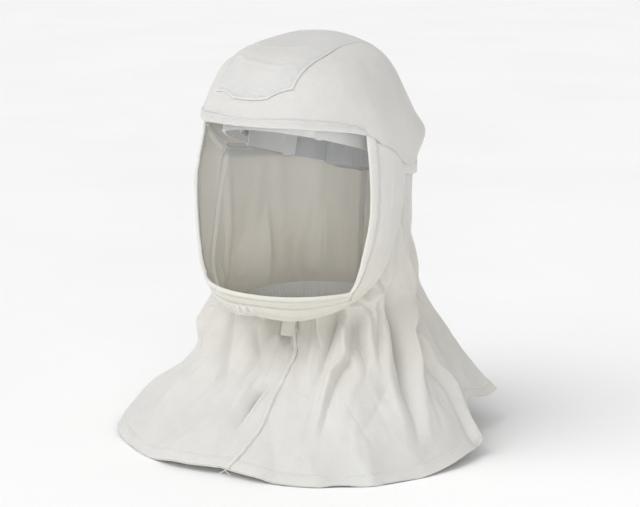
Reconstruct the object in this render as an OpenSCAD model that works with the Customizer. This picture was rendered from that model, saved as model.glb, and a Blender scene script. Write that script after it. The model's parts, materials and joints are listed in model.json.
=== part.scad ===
// Hood of a powered air respirator: a fabric hood with a shoulder cape and a clear visor, hung on
// a head harness with a ratchet, and an air duct that leads from the rear hose elbow to the brow.
// +Z is up, the wearer faces -Y, +X is the wearer's left. The origin is the centre of the
// headband ring. Lengths are in millimetres and angles in degrees.

/* [Hood] */
// Height of the crown's top above the headband centre
crown_top = 107; // [105:1:112]
// Height of the brim's lower edge at the front
brim_front = 26; // [24:1:30]
// Half angle of the visor opening, seen from above
visor_half = 66; // [62:1:68]
// Height of the visor opening's lower edge
visor_bottom = -135; // [-140:1:-128]
// Thickness of the hood fabric with its lining
fabric_t = 1.2; // [0.8:0.1:1.6]
// Thickness of the clear visor sheet
visor_t = 0.8; // [0.5:0.1:1.2]

/* [Cape] */
// Radius of the cape's hem at the side
hem_r = 186; // [170:1:200]
// Height of the cape's hem at the front
hem_front = -291; // [-310:1:-280]
// Height of the cape's hem at the back
hem_back = -258; // [-280:1:-250]

/* [Headband] */
// Inside radius of the rear half of the headband ring
ring_r = 80; // [79:0.5:81]
// Tilt of the headband, front edge up
ring_tilt = 17; // [16:0.5:18]
// Height of the nape straps
strap_h = 21; // [20:1:22]
// Thickness of the nape straps
strap_t = 1.5; // [1.2:0.1:1.8]

/* [Ratchet] */
// Radius of the ratchet knob
knob_r = 16; // [14:0.5:17]
// Height of the knob above the cover
knob_h = 8; // [7.5:0.5:10]

/* [Air duct] */
// Width of the air duct over the crown
duct_w = 60; // [50:1:62]
// Outside height of the air duct
duct_h = 13; // [11:0.5:13]
// Bore radius of the hose socket
hose_r = 15; // [14:0.5:16]

/* [Hidden] */
gap = 0.4; // between a sewn piece and the fabric under it
run_gap = 0.05; // radial clearance of a running fit
$fn = 96;

// ---------- curves and skins ----------

function mix(a, b, t) = a + (b - a) * t;
function spow(v, p) = sign(v) * pow(abs(v), p);
// Unsigned angle from the front, 0 to 180
function turn(th) = abs(th > 180 ? th - 360 : th < -180 ? th + 360 : th);
function seg(x, t, i = 0) = (i >= len(t) - 2 || x < t[i + 1][0]) ? i : seg(x, t, i + 1);
function slope(t, i, k) = let (a = max(i - 1, 0), b = min(i + 1, len(t) - 1))
    (t[b][k] - t[a][k]) / (t[b][0] - t[a][0]);
// Smooth curve through column k of table t, at x
function curve(x, t, k = 1) = let (i = seg(x, t), h = t[i + 1][0] - t[i][0],
    u = max(0, min(1, (x - t[i][0]) / h)), m0 = slope(t, i, k) * h, m1 = slope(t, i + 1, k) * h)
    (2 * u^3 - 3 * u^2 + 1) * t[i][k] + (u^3 - 2 * u^2 + u) * m0
    + (3 * u^2 - 2 * u^3) * t[i + 1][k] + (u^3 - u^2) * m1;

// A closed solid between two point grids, outer[i][j] and inner[i][j]: i runs round the body and
// j along it. ring joins the last i to the first, tips closes the last j on two points, and flip
// suits grids that run the other way round.
module skin(outer, inner, ring = false, tips = [], flip = false) {
    n = len(outer);
    m = len(outer[0]);
    last = ring ? n - 1 : n - 2;
    top = 2 * n * m;
    function at(o, i, j) = o * n * m + (i % n) * m + j;
    function tri(a, b, c, out) = (out != flip) ? [a, c, b] : [a, b, c];
    function quad(a, b, c, d, out) = [tri(a, b, c, out), tri(a, c, d, out)];
    // The quad across the skin's thickness between points (i, j) and (k, l)
    function wall(i, j, k, l, out) = quad(at(0, i, j), at(0, k, l), at(1, k, l), at(1, i, j), out);
    faces = [
        for (i = [0 : last], j = [0 : m - 2], o = [0, 1])
            each quad(at(o, i, j), at(o, i + 1, j), at(o, i + 1, j + 1), at(o, i, j + 1), o == 0),
        for (i = [0 : last]) each wall(i, 0, i + 1, 0, false),
        if (len(tips) == 0) for (i = [0 : last]) each wall(i, m - 1, i + 1, m - 1, true),
        if (len(tips) == 2) for (i = [0 : last], o = [0, 1])
            tri(at(o, i, m - 1), at(o, i + 1, m - 1), top + o, o == 0),
        if (!ring) for (j = [0 : m - 2]) each wall(0, j, 0, j + 1, true),
        if (!ring) for (j = [0 : m - 2]) each wall(n - 1, j, n - 1, j + 1, false)
    ];
    polyhedron([for (g = [outer, inner], row = g) each row, each tips], faces, convexity = 8);
}
module mirrored(side) mirror([side > 0 ? 0 : 1, 0, 0]) children();
// A cylinder along +Y from y1 to y2
module disc(r, y1, y2) translate([0, y1, 0]) rotate([-90, 0, 0]) cylinder(r = r, h = y2 - y1);
// A wall about a vertical axis through (cx, cy), between two angles counted from +X
module arc_wall(cx, cy, r1, r2, a1, a2, z1, z2) {
    translate([cx, cy, 0]) rotate([0, 0, a1]) rotate_extrude(angle = a2 - a1, $fn = 180)
        translate([r1, z1]) square([r2 - r1, z2 - z1]);
}

// ---------- shape of the hood ----------

// Height of the hood's wall, its half width, its reach to the front and its reach to the back
WALL = [[-178, 66, 88, 95], [-165, 76, 93, 97], [-150, 88, 97, 100], [-130, 99, 102, 104],
    [-100, 104, 107, 110], [-60, 107, 110, 120], [-20, 105, 111, 131], [10, 101, 110, 132],
    [40, 98, 107, 128]];
wall_y = -5; // the wall's centre line
apex_y = 22; // the crown's top lies this far back
front_n = 2.15; // squareness of the wall's front half
// Point on the wall, th degrees round from the front towards +X
function wall_pt(th, z, inset = 0) = let (c = cos(th), n = c > 0 ? front_n : 2,
    a = curve(z, WALL, 1) - inset, f = curve(z, WALL, 2) - inset, r = curve(z, WALL, 3) - inset)
    [a * spow(sin(th), 2 / n), wall_y + (c > 0 ? -f : r) * pow(abs(c), 2 / n), z];

// Height of the crown's lower edge below its height at the front, by angle
BRIM = [[0, 0], [30, 1], [65, 9], [80, 26], [97, 46], [130, 52], [180, 56]];
function brim_z(th) = brim_front - curve(turn(th), BRIM);
crown_n = 2.25; // squareness of the crown, seen from the side
// Exponents of the crown's plan fall from the sides to the brow
function plan_n(th) = 2.15 - 0.25 * max(0, cos(th));
// Point on the crown, t from 0 at its lower edge to 1 at its top
function crown_pt(th, t, inset = 0) = let (zb = brim_z(th), b = wall_pt(th, zb, inset),
    rho = pow(cos(90 * t), 2 / plan_n(th)), h = pow(sin(90 * t), 2 / crown_n))
    [b.x * rho, apex_y + (b.y - apex_y) * rho, zb + (crown_top - inset - zb) * h];

// The crown's height above a plan point, by first finding the angle th that passes over it
function bearing(th, inset) = let (b = wall_pt(th, brim_z(th), inset)) atan2(b.x, apex_y - b.y);
function th_at(b, inset, lo = 0, hi = 180, k = 16) = let (m = (lo + hi) / 2)
    k == 0 ? m : bearing(m, inset) < b ? th_at(b, inset, m, hi, k - 1)
    : th_at(b, inset, lo, m, k - 1);
function crown_z(x, y, inset = 0) = let (th = th_at(atan2(abs(x), apex_y - y), inset),
    zb = brim_z(th), b = wall_pt(th, zb, inset),
    rho = min(0.999, norm([x, y - apex_y]) / norm([b.x, b.y - apex_y])),
    c = pow(rho, plan_n(th) / 2))
    zb + (crown_top - inset - zb) * pow(1 - c^2, 1 / crown_n);

crown_cols = 44;
CROWN_STEPS = [0, 0.09, 0.2, 0.32, 0.45, 0.6, 0.76, 0.9];
module crown_shell() {
    function grid(inset) = [for (i = [0 : crown_cols - 1])
        [for (t = CROWN_STEPS) crown_pt(360 * i / crown_cols, t, inset)]];
    color("whitesmoke") difference() {
        skin(grid(0), grid(fabric_t), ring = true,
            tips = [[0, apex_y, crown_top], [0, apex_y, crown_top - fabric_t]]);
        port_frame() {
            disc(spigot_r + 0.8, -12, 8);
            port_holes(clamp_shank_r + 0.4, -12, 8);
        }
    }
}

// The raised panel sewn over the duct, with its front corners cut back
panel_half = 40;
panel_rear = 104;
panel_gap = 0.9;
panel_t = 1.6;
function panel_front(x) = -105 + 8 * max(0, abs(x) - 17) / (panel_half - 17);
module crown_panel() {
    nx = 10;
    ny = 22;
    function pt(i, j, inset) = let (x = panel_half * (2 * i / nx - 1), s = 0.5 - 0.5 * cos(180 * j / ny),
        y = mix(panel_front(x), panel_rear - 0.006 * x^2, s)) [x, y, crown_z(x, y, inset)];
    function grid(inset) = [for (i = [0 : nx]) [for (j = [0 : ny]) pt(i, j, inset)]];
    color("white") skin(grid(-panel_gap - panel_t), grid(-panel_gap));
}

// A strip of wall between angles a1 and a2, from height lo(th) to height hi(th)
module wall_strip(a1, a2, n, m, lo, hi, out, inn) {
    function grid(inset) = [for (i = [0 : n]) let (th = mix(a1, a2, i / n))
        [for (j = [0 : m]) wall_pt(th, mix(lo(th), hi(th), j / m), inset)]];
    skin(grid(out), grid(inn));
}
module brim_hem() {
    color("white") wall_strip(-visor_half, visor_half, 40, 2,
        function (th) brim_z(th) - 2, function (th) brim_z(th) + 9, -gap - 1.6, -gap);
}

// ---------- visor and the panels around it ----------

// Half angle of the visor opening at each height
OPENING = [[visor_bottom - 6, 53], [visor_bottom, 56], [-120, 59], [-95, 62],
    [-60, visor_half - 1], [0, visor_half], [60, visor_half]];
visor_in = 2.6; // the visor lies this far inside the wall
visor_lap = 5; // its margin runs this far behind the binding
lap_th = 3; // the same at the sides, as an angle
module visor() {
    n = 28;
    m = 12;
    function pt(u, t, inset) = let (top = brim_z(u * visor_half) + 14,
        z = mix(visor_bottom - visor_lap, top, t)) wall_pt(u * (curve(z, OPENING) + lap_th), z, inset);
    function grid(inset) = [for (i = [0 : n]) [for (j = [0 : m]) pt(2 * i / n - 1, j / m, inset)]];
    color("lightcyan", 0.35) skin(grid(visor_in), grid(visor_in + visor_t));
}

// The opening's border is a U: s runs from -1 at the right brim, through 0 at the chin, to 1
chin_s = 0.36; // where the U turns from the chin into the cheek
side_top = 13; // height of the U's ends
function rim(s) = let (a = abs(s)) a < chin_s
    ? [s / chin_s * 56, visor_bottom - 3 * cos(90 * a / chin_s)]
    : let (z = mix(visor_bottom, side_top, (a - chin_s) / (1 - chin_s))) [sign(s) * curve(z, OPENING), z];
// Angle and height of the cheek and chin panels' outer edge, by the same s
EDGE = [[0, 0, -161], [0.18, 27, -163], [0.36, 57, -153], [0.46, 70, -137], [0.58, 81, -112],
    [0.72, 88, -82], [0.86, 92, -50], [1, 95, -24]];
function edge(s) = [sign(s) * curve(abs(s), EDGE, 1), curve(abs(s), EDGE, 2)];
bind_w = 0.19; // the binding's share of the border's width
end_s = 0.985; // the border's last s before the brim
puff = 2.5; // height of the stuffed binding and panel over the wall
// Point on the border, w from 0 at the opening to 1 at the outer edge
function border_pt(s, w, inset) = let (q = mix(rim(s), edge(s), w))
    wall_pt(q[0], q[1] + 4 * pow(abs(s), 8) * sin(180 * w), inset - puff * sin(180 * w));
module border(s1, s2, n, w1, w2, m, out, inn) {
    function grid(inset) = [for (i = [0 : n]) [for (j = [0 : m])
        border_pt(mix(s1, s2, i / n), mix(w1, w2, j / m), inset)]];
    skin(grid(out), grid(inn), flip = true);
}
module visor_binding() color("white") border(-end_s, end_s, 60, 0, bind_w, 2, -1.2, 2.2);
module cheek_panel(side) {
    color("whitesmoke") mirrored(side) border(0.385, end_s, 20, bind_w + 0.02, 1, 5, 0, fabric_t);
}
module cheek_panel_left() cheek_panel(1);
module cheek_panel_right() cheek_panel(-1);
module chin_panel() {
    color("whitesmoke") border(-0.375, 0.375, 22, bind_w + 0.1, 1, 4, -1.5, fabric_t - 1.5);
}
module visor_top_strip() {
    inset = visor_in + visor_t + 0.3;
    color("gainsboro") wall_strip(-visor_half + 4, visor_half - 4, 30, 1,
        function (th) brim_z(th) + 3, function (th) brim_z(th) + 12, inset, inset + 1.6);
}
module visor_snaps() {
    color("silver") for (th = [-44, -15, 15, 44]) {
        p = wall_pt(th, brim_z(th) + 7.5, visor_in + visor_t + 2.7);
        q = wall_pt(th, brim_z(th) + 7.5, visor_in + visor_t + 3.7);
        translate(p) rotate([0, 0, atan2(q.y - p.y, q.x - p.x)]) rotate([0, 90, 0]) {
            cylinder(r = 4, h = 1.4, $fn = 32);
            translate([0, 0, 1.3]) cylinder(r = 2.4, h = 1.2, $fn = 32);
        }
    }
}
module chin_tab() color("white") translate([2, -60, -188]) rotate([-28, 0, 12]) cube([14, 1.4, 18]);

// ---------- shroud ----------

// Bearing from the front, radius and height of the shroud's neck line
NECK = [[0, 30, -168], [25, 46, -166], [50, 76, -160], [75, 95, -152], [100, 99, -150],
    [140, 101, -150], [180, 103, -150]];
// The same for its hem, as an addition to the hem's radius and its height
HEM = [[0, -18, hem_front], [30, -4, hem_front - 8], [60, 4, hem_front - 7], [90, 1, hem_front + 3],
    [120, 0, hem_back - 15], [150, 3, hem_back - 4], [180, -6, hem_back]];
// The hood's lower edge that the shroud is sewn to
EDGE_LINE = [for (row = EDGE) [row[1], row[2]]];
function sewn_z(th) = turn(th) < 95 ? curve(turn(th), EDGE_LINE) + 2 : brim_z(th) + 5;
sewn_in = 6.4; // the shroud's top lies this far inside the wall
shroud_t = 1.4;
neck_t = 0.35; // share of the shroud's rows above the neck line
function polar(th, r, z) = [r * sin(th), -r * cos(th), z];
function shroud_pt(th, t, out = 0) = let (a = turn(th), r0 = curve(a, NECK, 1) + out,
    z0 = curve(a, NECK, 2), z1 = curve(a, HEM, 2), r1 = hem_r + curve(a, HEM, 1) + out)
    t < neck_t ? mix(wall_pt(th, sewn_z(th), sewn_in - out), polar(th, r0, z0), t / neck_t)
    : let (u = (t - neck_t) / (1 - neck_t))
    polar(th, mix(r0, r1, pow(u, 1.15)), mix(z0, z1, pow(u, 0.95)));
SHROUD_STEPS = [0, 0.12, 0.24, 0.35, 0.45, 0.55, 0.68, 0.8, 0.9, 1];
seam_half = 0.8; // half angle of the sewn seam
module shroud_half(side) {
    n = 28;
    a1 = seam_half + 0.6;
    function grid(out) = [for (i = [0 : n]) [for (t = SHROUD_STEPS)
        shroud_pt(mix(a1, 180 - a1, i / n), t, out)]];
    color("whitesmoke") mirrored(side) skin(grid(shroud_t), grid(0), flip = true);
}
module shroud_left() shroud_half(1);
module shroud_right() shroud_half(-1);
module seam(th) {
    function grid(out) = [for (a = [-seam_half, seam_half]) [for (t = SHROUD_STEPS)
        shroud_pt(th + a, t, out)]];
    skin(grid(shroud_t + 0.6), grid(0), flip = true);
}
module front_seam() color("white") seam(0);
module back_seam() color("white") seam(180);

module nape_elastic() {
    color("white") wall_strip(104, 256, 26, 1, function (th) brim_z(th) - 8.5,
        function (th) brim_z(th) - 0.5, 0.2, 1.6);
}

// The collar that closes on the neck, inside the shroud
COLLAR = [[0, 27, -182], [45, 44, -176], [90, 76, -168], [180, 84, -164]];
collar_cols = 36;
cuff_r = 58;
cuff_y = 6; // the cuff's centre lies this far back
cuff_z = -222;
function collar_pt(th, t, inset) = let (a = turn(th), top = curve(a, COLLAR, 1) - inset,
    p = polar(th, top, curve(a, COLLAR, 2)), q = polar(th, cuff_r - inset, cuff_z) + [0, cuff_y, 0])
    mix(p, q, t);
function collar_grid(t1, t2, m, inset) = [for (i = [0 : collar_cols - 1])
    [for (j = [0 : m]) collar_pt(i * 360 / collar_cols, mix(t1, t2, j / m), inset)]];
module inner_collar() color("ghostwhite")
    skin(collar_grid(0, 0.9, 3, 0), collar_grid(0, 0.9, 3, fabric_t), ring = true, flip = true);
module collar_elastic() color("ghostwhite")
    skin(collar_grid(0.91, 1, 1, -0.8), collar_grid(0.91, 1, 1, 2.2), ring = true, flip = true);

// ---------- headband ring, in its own tilted frame ----------

module ring_frame() rotate([-ring_tilt, 0, 0]) children();
ring_c = 21; // the rear arc's centre lies this far behind the origin
band_t = 2;
band_h = 20; // height of the band at the brow
brow_r = 62;
brow_c = -39;
side_r = 171; // radius of the temple arcs
side_c = ring_r - side_r;
side_a = atan2(ring_c - brow_c, side_r - ring_r); // where the temple arcs meet the brow arc
// The same arc wall about the rear centre, with angles from the back towards +X
module rear_wall(r1, r2, a1, a2, z1, z2) arc_wall(0, ring_c, r1, r2, 90 - a2, 90 - a1, z1, z2);
// An arc at the brow that stops a degrees short of the temples
module brow_wall(off, t, h, a) {
    arc_wall(0, brow_c, brow_r + off, brow_r + off + t, 180 + side_a + a, 360 - side_a - a, -h / 2, h / 2);
}
// A boss over the joint of two arcs, at angle a of the temple arc
module boss(a) translate([side_c, ring_c, 0]) rotate([0, 0, -a]) translate([side_r - 0.6, -3, -boss_h / 2])
    cube([band_t + 1.2, 6, boss_h]);
boss_h = 22;
boss_half = 0.4; // the arcs stop this many degrees inside a boss
arm_end = 46;
rivet_y = 4; // the crown strap is riveted on at this y
brow_rivet_a = 47.5; // the plenum's feet are riveted on at this angle from the front
module temple_axis() for (s = [1, -1]) translate([0, rivet_y, 0]) rotate([0, s * 90, 0]) children();
module brow_rivet_axis() for (s = [1, -1]) translate([0, brow_c, 0]) rotate([0, 0, s * brow_rivet_a - 90])
    rotate([0, 90, 0]) children();
module headband() {
    color("lightgray") ring_frame() difference() {
        union() {
            brow_wall(0, band_t, band_h, boss_half);
            for (s = [1, -1]) mirrored(s) {
                arc_wall(side_c, ring_c, side_r, side_r + band_t, boss_half - side_a, -boss_half,
                    -band_h / 2, band_h / 2);
                rear_wall(ring_r, ring_r + band_t, arm_end, 90 - boss_half, -strap_h / 2, strap_h / 2);
                boss(0);
                boss(side_a);
            }
        }
        temple_axis() translate([0, 0, 60]) cylinder(r = 2.2, h = 40);
        brow_rivet_axis() translate([0, 0, 50]) cylinder(r = 1.7, h = 30);
    }
}
module sweatband() color("silver") ring_frame() difference() {
    brow_wall(-3.4, 3, band_h, 5);
    brow_rivet_axis() translate([0, 0, 50]) cylinder(r = 3.6, h = 30);
}

left_r = ring_r + band_t + 0.4; // inside radius of the left nape strap
right_r = left_r + strap_t + 0.5;
slot_a = 17; // half angle of the straps' slots
strap_front = 70;
strap_tip = 21;
pinion_teeth = 10;
gear_m = 1; // module of the pinion and the racks
press_a = 20;
backlash = 0.2;
pitch_r = gear_m * pinion_teeth / 2;
rack_add = 0.55 * gear_m;
rack_ded = 0.85 * gear_m;
// Width of a rack's tooth space, d outside the pitch line
function space_w(d) = PI * gear_m / 2 - 2 * d * tan(press_a) + backlash;
module tooth_space(r, up) {
    lo = -rack_add - 0.2;
    pts = [for (e = [[-1, lo], [-1, rack_ded], [1, rack_ded], [1, lo]])
        [e[0] * space_w(e[1]) / 2, up * (pitch_r + e[1])]];
    translate([0, r + strap_t + 1, 0]) rotate([90, 0, 0]) linear_extrude(strap_t + 2)
        polygon(up > 0 ? pts : [for (i = [3 : -1 : 0]) pts[i]]);
}
// A nape strap whose slot has a rack on its upper (up = 1) or lower (up = -1) edge
module nape_strap(r, side, up) {
    step = 180 * gear_m / (r + strap_t / 2); // angle of one rack pitch
    near = pitch_r - rack_add;
    far = pitch_r + gear_m + 0.6;
    count = floor((slot_a - 1.6) / step);
    a1 = side > 0 ? -strap_tip : -strap_front;
    a2 = side > 0 ? strap_front : strap_tip;
    difference() {
        rear_wall(r, r + strap_t, a1, a2, -strap_h / 2, strap_h / 2);
        rear_wall(r - 1, r + strap_t + 1, -slot_a, slot_a, up > 0 ? -far : -near, up > 0 ? near : far);
        for (k = [-count : count]) translate([0, ring_c, 0]) rotate([0, 0, k * step]) tooth_space(r, up);
    }
}
module nape_strap_left() color("dimgray") ring_frame() nape_strap(left_r, 1, 1);
module nape_strap_right() color("dimgray") ring_frame() nape_strap(right_r, -1, -1);
// Loops that hold each strap against the headband's arm
module keeper(side, r) mirrored(side) difference() {
    rear_wall(ring_r - 1.6, r + strap_t + 2, arm_end + 3, arm_end + 10, -strap_h / 2 - 2, strap_h / 2 + 2);
    rear_wall(ring_r - 0.1, r + strap_t + 0.4, arm_end + 2, arm_end + 11,
        -strap_h / 2 - 0.4, strap_h / 2 + 0.4);
}
module strap_keepers() color("gray") ring_frame() {
    keeper(1, left_r);
    keeper(-1, right_r);
}

// ---------- ratchet, on an axis that points straight back from the ring ----------

// y counts the radius from the rear arc's centre
module ratchet_frame() ring_frame() translate([0, ring_c, 0]) children();
module house_wall(y1, y2, z1, z2) translate([0, -ring_c, 0]) rear_wall(y1, y2, -house_a, house_a, z1, z2);
module at_cover_screws() for (x = [-17, 17], z = [-13, 13]) translate([x, 0, z]) children();
module at_stay_rivets() for (x = [-5, 5]) translate([x, 0, stay_z]) children();
axle_r = 2;
house_a = 15; // half angle of the ratchet's housing
house_h = 15.5;
plate_t = 1.8;
base_y = ring_r;
cover_y = right_r + strap_t + 1;
boss_y = cover_y + plate_t + 0.5;
knob_y = boss_y + 0.3;
knob_end = knob_y + knob_h;
axle_end = knob_y + 4.6;
shaft_r = 6;
hub_r = 3.6;
hub_end = cover_y + 2;
stay_z = 19.5; // height of the rivets that hang the ratchet from the inlet housing
stay_y = base_y + plate_t + 0.1; // the stay's inner face
module ratchet_base() {
    color("dimgray") ratchet_frame() difference() {
        union() {
            house_wall(base_y, base_y + plate_t, -house_h, house_h);
            house_wall(base_y, cover_y, strap_h / 2 + 0.5, house_h);
            house_wall(base_y, cover_y, -house_h, -strap_h / 2 - 0.5);
            disc(axle_r, base_y + 0.6, axle_end);
            translate([-9, base_y + 0.3, house_h - 1]) cube([18, plate_t - 0.3, 9]);
        }
        disc(1.25, axle_end - 7, axle_end + 1);
        at_cover_screws() disc(0.9, cover_y - 5, cover_y + 2);
        at_stay_rivets() disc(1.6, base_y - 1, stay_y + 1);
    }
}
module ratchet_cover() {
    color("gray") ratchet_frame() difference() {
        union() {
            house_wall(cover_y + 0.05, cover_y + plate_t, -house_h, house_h);
            disc(14.5, cover_y + 0.4, boss_y);
        }
        disc(shaft_r + 1.2, cover_y - 2, boss_y + 1);
        at_cover_screws() disc(1.2, cover_y - 3, boss_y + 1);
    }
}
module cover_screws() {
    y = cover_y + plate_t;
    color("silver") ratchet_frame() at_cover_screws() {
        disc(0.85, cover_y - 4.4, y + 0.2);
        disc(1.9, y, y + 1.1);
    }
}
pawl_r = 11.4;
notch_r = 12.6;
notches = 24;
module pawl_ring() {
    color("silver") ratchet_frame() {
        difference() {
            disc(pawl_r - 0.6, boss_y, boss_y + 2.2);
            disc(pawl_r - 1.8, boss_y - 1, boss_y + 3);
        }
        for (a = [0, 120, 240]) rotate([0, a, 0]) translate([pawl_r - 1, boss_y, -1]) cube([1, 2.2, 2]);
    }
}
base_r = pitch_r * cos(press_a);
tip_r = pitch_r + 0.7 * gear_m;
root_r = pitch_r - 0.85 * gear_m;
function inv(a) = (tan(a) - a * PI / 180) * 180 / PI;
// Half angle of an involute tooth at radius r, less a little for play
function half_tooth(r) = 90 / pinion_teeth + inv(press_a) - inv(acos(min(1, base_r / r))) - 0.7;
FLANK = [root_r, base_r, mix(base_r, tip_r, 0.35), mix(base_r, tip_r, 0.7), tip_r];
function flank_pt(r, a, s) = let (h = half_tooth(max(r, base_r))) [r * sin(a + s * h), r * cos(a + s * h)];
module pinion_outline() {
    polygon([for (k = [0 : pinion_teeth - 1]) let (a = -360 * k / pinion_teeth) each concat(
        [for (r = FLANK) flank_pt(r, a, 1)], [for (i = [4 : -1 : 0]) flank_pt(FLANK[i], a, -1)])]);
}
module ratchet_pinion() {
    y1 = base_y + plate_t + 0.3;
    y2 = cover_y - 0.5;
    color("white") ratchet_frame() difference() {
        union() {
            translate([0, y2, 0]) rotate([90, 0, 0]) linear_extrude(y2 - y1) pinion_outline();
            disc(hub_r, y2 - 0.2, hub_end);
        }
        disc(axle_r + run_gap, 0, 200);
    }
}
module ratchet_knob() {
    lobes = 12;
    lobe_r = 2.4;
    color("darkgray") ratchet_frame() difference() {
        union() {
            disc(knob_r - 1.6, knob_y, knob_end);
            disc(shaft_r, cover_y + 0.2, knob_y + 1);
            for (k = [0 : lobes - 1]) rotate([0, 360 * k / lobes, 0]) translate([knob_r - lobe_r, 0, 0])
                disc(lobe_r, knob_y, knob_end - 1);
        }
        difference() {
            disc(notch_r, knob_y - 1, knob_y + 2.8);
            disc(8, knob_y - 2, knob_y + 4);
        }
        for (k = [0 : notches - 1]) rotate([0, 360 * k / notches, 0]) translate([notch_r, 0, 0])
            disc(0.6, knob_y - 1, knob_y + 2.8);
        disc(hub_r + 0.02, 0, hub_end + 0.02);
        disc(axle_r + run_gap, 0, 200);
        disc(4.6, axle_end - 0.15, knob_end + 1);
    }
}
module knob_screw() color("silver") ratchet_frame() {
    disc(1.2, axle_end - 6, axle_end + 0.2);
    disc(3.6, axle_end, axle_end + 1.4);
}
module knob_cap() color("gray") ratchet_frame() disc(4.5, knob_end - 1.4, knob_end);
module nape_pad() color("silver") ring_frame() rear_wall(base_y - 5.2, base_y - 0.2, -22, 22, -14, 14);

// ---------- crown strap and pad ----------

strap_c = -8; // height of the centre of the crown strap's arc
strap_r = 78.2;
crown_t = 1.6;
// A strip over the head about an axis along Y through (0, strap_c), half angle a from the top
module over_head(r1, r2, a, y, w) translate([0, y, strap_c]) rotate([90, 0, 0]) rotate([0, 0, 90 - a])
    rotate_extrude(angle = 2 * a, $fn = 180) translate([r1, -w / 2]) square([r2 - r1, w]);
module crown_strap() color("lightgray") difference() {
    over_head(strap_r - crown_t, strap_r, 84, rivet_y, 18);
    ring_frame() temple_axis() translate([0, 0, 60]) cylinder(r = 2.2, h = 40);
}
module crown_pad() color("silver")
    over_head(strap_r - crown_t - 5.2, strap_r - crown_t - 0.2, 18, rivet_y, 40);
module harness_rivets() color("silver") {
    ring_frame() temple_axis() translate([0, 0, strap_r - crown_t - 2]) {
        cylinder(r = 4, h = 1.2);
        translate([0, 0, 1]) cylinder(r = 2.1, h = 6.8);
        translate([0, 0, 7.6]) cylinder(r = 4, h = 1.2);
    }
    ring_frame() brow_rivet_axis() translate([0, 0, brow_r - 1.7]) {
        cylinder(r = 3.4, h = 1.6);
        translate([0, 0, 1]) cylinder(r = 1.6, h = 4.4);
    }
    ratchet_frame() at_stay_rivets() {
        disc(1.5, base_y, stay_y + plate_t + 0.2);
        disc(2.8, base_y - 0.8, base_y + 0.2);
        disc(2.8, stay_y + plate_t + 0.05, stay_y + plate_t + 1);
    }
}

// ---------- air duct ----------

duct_y = 4; // centre of the duct's arc, seen from the side
duct_z = -11;
duct_r = 110;
duct_wall = 1.4;
duct_front = -50;
duct_rear = 66;
duct_in = duct_r - duct_h;
duct_mid = duct_r - duct_h / 2;
// An arc about the duct's centre, angles from the top towards the back
module duct_arc(r1, r2, x1, x2) {
    translate([0, duct_y, duct_z]) rotate([0, 90, 0]) rotate([0, 0, 180 - duct_rear])
        rotate_extrude(angle = duct_rear - duct_front, $fn = 180)
        translate([r1, x1]) square([r2 - r1, x2 - x1]);
}
module duct_upper() color("gainsboro") {
    duct_arc(duct_r - duct_wall, duct_r, -duct_w / 2, duct_w / 2);
    for (s = [1, -1]) mirrored(s) duct_arc(duct_mid + 0.1, duct_r, duct_w / 2 - duct_wall, duct_w / 2);
}
module duct_lower() color("lightgray") {
    duct_arc(duct_in, duct_in + duct_wall, -duct_w / 2, duct_w / 2);
    for (s = [1, -1]) mirrored(s) duct_arc(duct_in, duct_mid, duct_w / 2 - duct_wall, duct_w / 2);
}
// A thin slice across the duct at angle a, larger by g all round
module duct_slice(a, g, t) translate([0, duct_y, duct_z]) rotate([-a, 0, 0])
    translate([-duct_w / 2 - g, -t / 2, duct_in - g]) cube([duct_w + 2 * g, t, duct_h + 2 * g]);
module duct_saddle() color("gray") difference() {
    z = strap_c + strap_r - 8;
    translate([-14, rivet_y - 12, z]) cube([28, 24, duct_z + duct_in - z]);
    translate([0, rivet_y + 20, strap_c]) rotate([90, 0, 0]) cylinder(r = strap_r + 0.1, h = 40, $fn = 180);
    translate([-20, duct_y, duct_z]) rotate([0, 90, 0]) difference() {
        cylinder(r = duct_r, h = 40, $fn = 180);
        translate([0, 0, -1]) cylinder(r = duct_in - 0.1, h = 42, $fn = 180);
    }
}

plenum_c = -34; // the plenum's arcs are centred here
plenum_r1 = 58;
plenum_r2 = 71;
plenum_z1 = 43;
plenum_z2 = 54;
plenum_a = 50; // half angle of the plenum
cavity_a = 43; // half angle of its hollow
foot_a = 47; // angle of the feet that stand on the headband
vent_r1 = 63.8; // the air slots lie between these radii
vent_r2 = 69.6;
VENTS = [-30 : 12 : 30];
vent_w = 5.6; // angle of one slot
rear_w = 44; // width and height of the opening to the duct
rear_h = 7;
module brow_arc(r1, r2, a1, a2, z1, z2) arc_wall(0, plenum_c, r1, r2, 270 + a1, 270 + a2, z1, z2);
module vents(z1, z2) for (a = VENTS) brow_arc(vent_r1, vent_r2, a - vent_w / 2, a + vent_w / 2, z1, z2);
module plenum_body() color("gainsboro") difference() {
    union() {
        brow_arc(plenum_r1, plenum_r2, -plenum_a, plenum_a, plenum_z1, plenum_z2);
        for (s = [1, -1]) brow_arc(plenum_r1 + 1, plenum_r2 - 3.5, s * foot_a - 2.8, s * foot_a + 2.8,
            18, plenum_z1 + 1);
    }
    brow_arc(plenum_r1 + 1.5, plenum_r2 - 1.5, -cavity_a, cavity_a, plenum_z1 - 1, plenum_z2 - 1.5);
    translate([-rear_w / 2, plenum_c - plenum_r1 - 4, plenum_z1 + 2]) cube([rear_w, 20, rear_h]);
    ring_frame() translate([0, brow_c, -60]) cylinder(r = brow_r + band_t + 0.05, h = 120, $fn = 180);
    ring_frame() brow_rivet_axis() translate([0, 0, 50]) cylinder(r = 1.7, h = 16);
}
module plenum_grille() color("gray") difference() {
    brow_arc(plenum_r1 + 1.6, plenum_r2 - 1.6, -cavity_a + 0.1, cavity_a - 0.1,
        plenum_z1 + 0.1, plenum_z1 + 1.3);
    vents(plenum_z1 - 1, plenum_z1 + 3);
}
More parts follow.
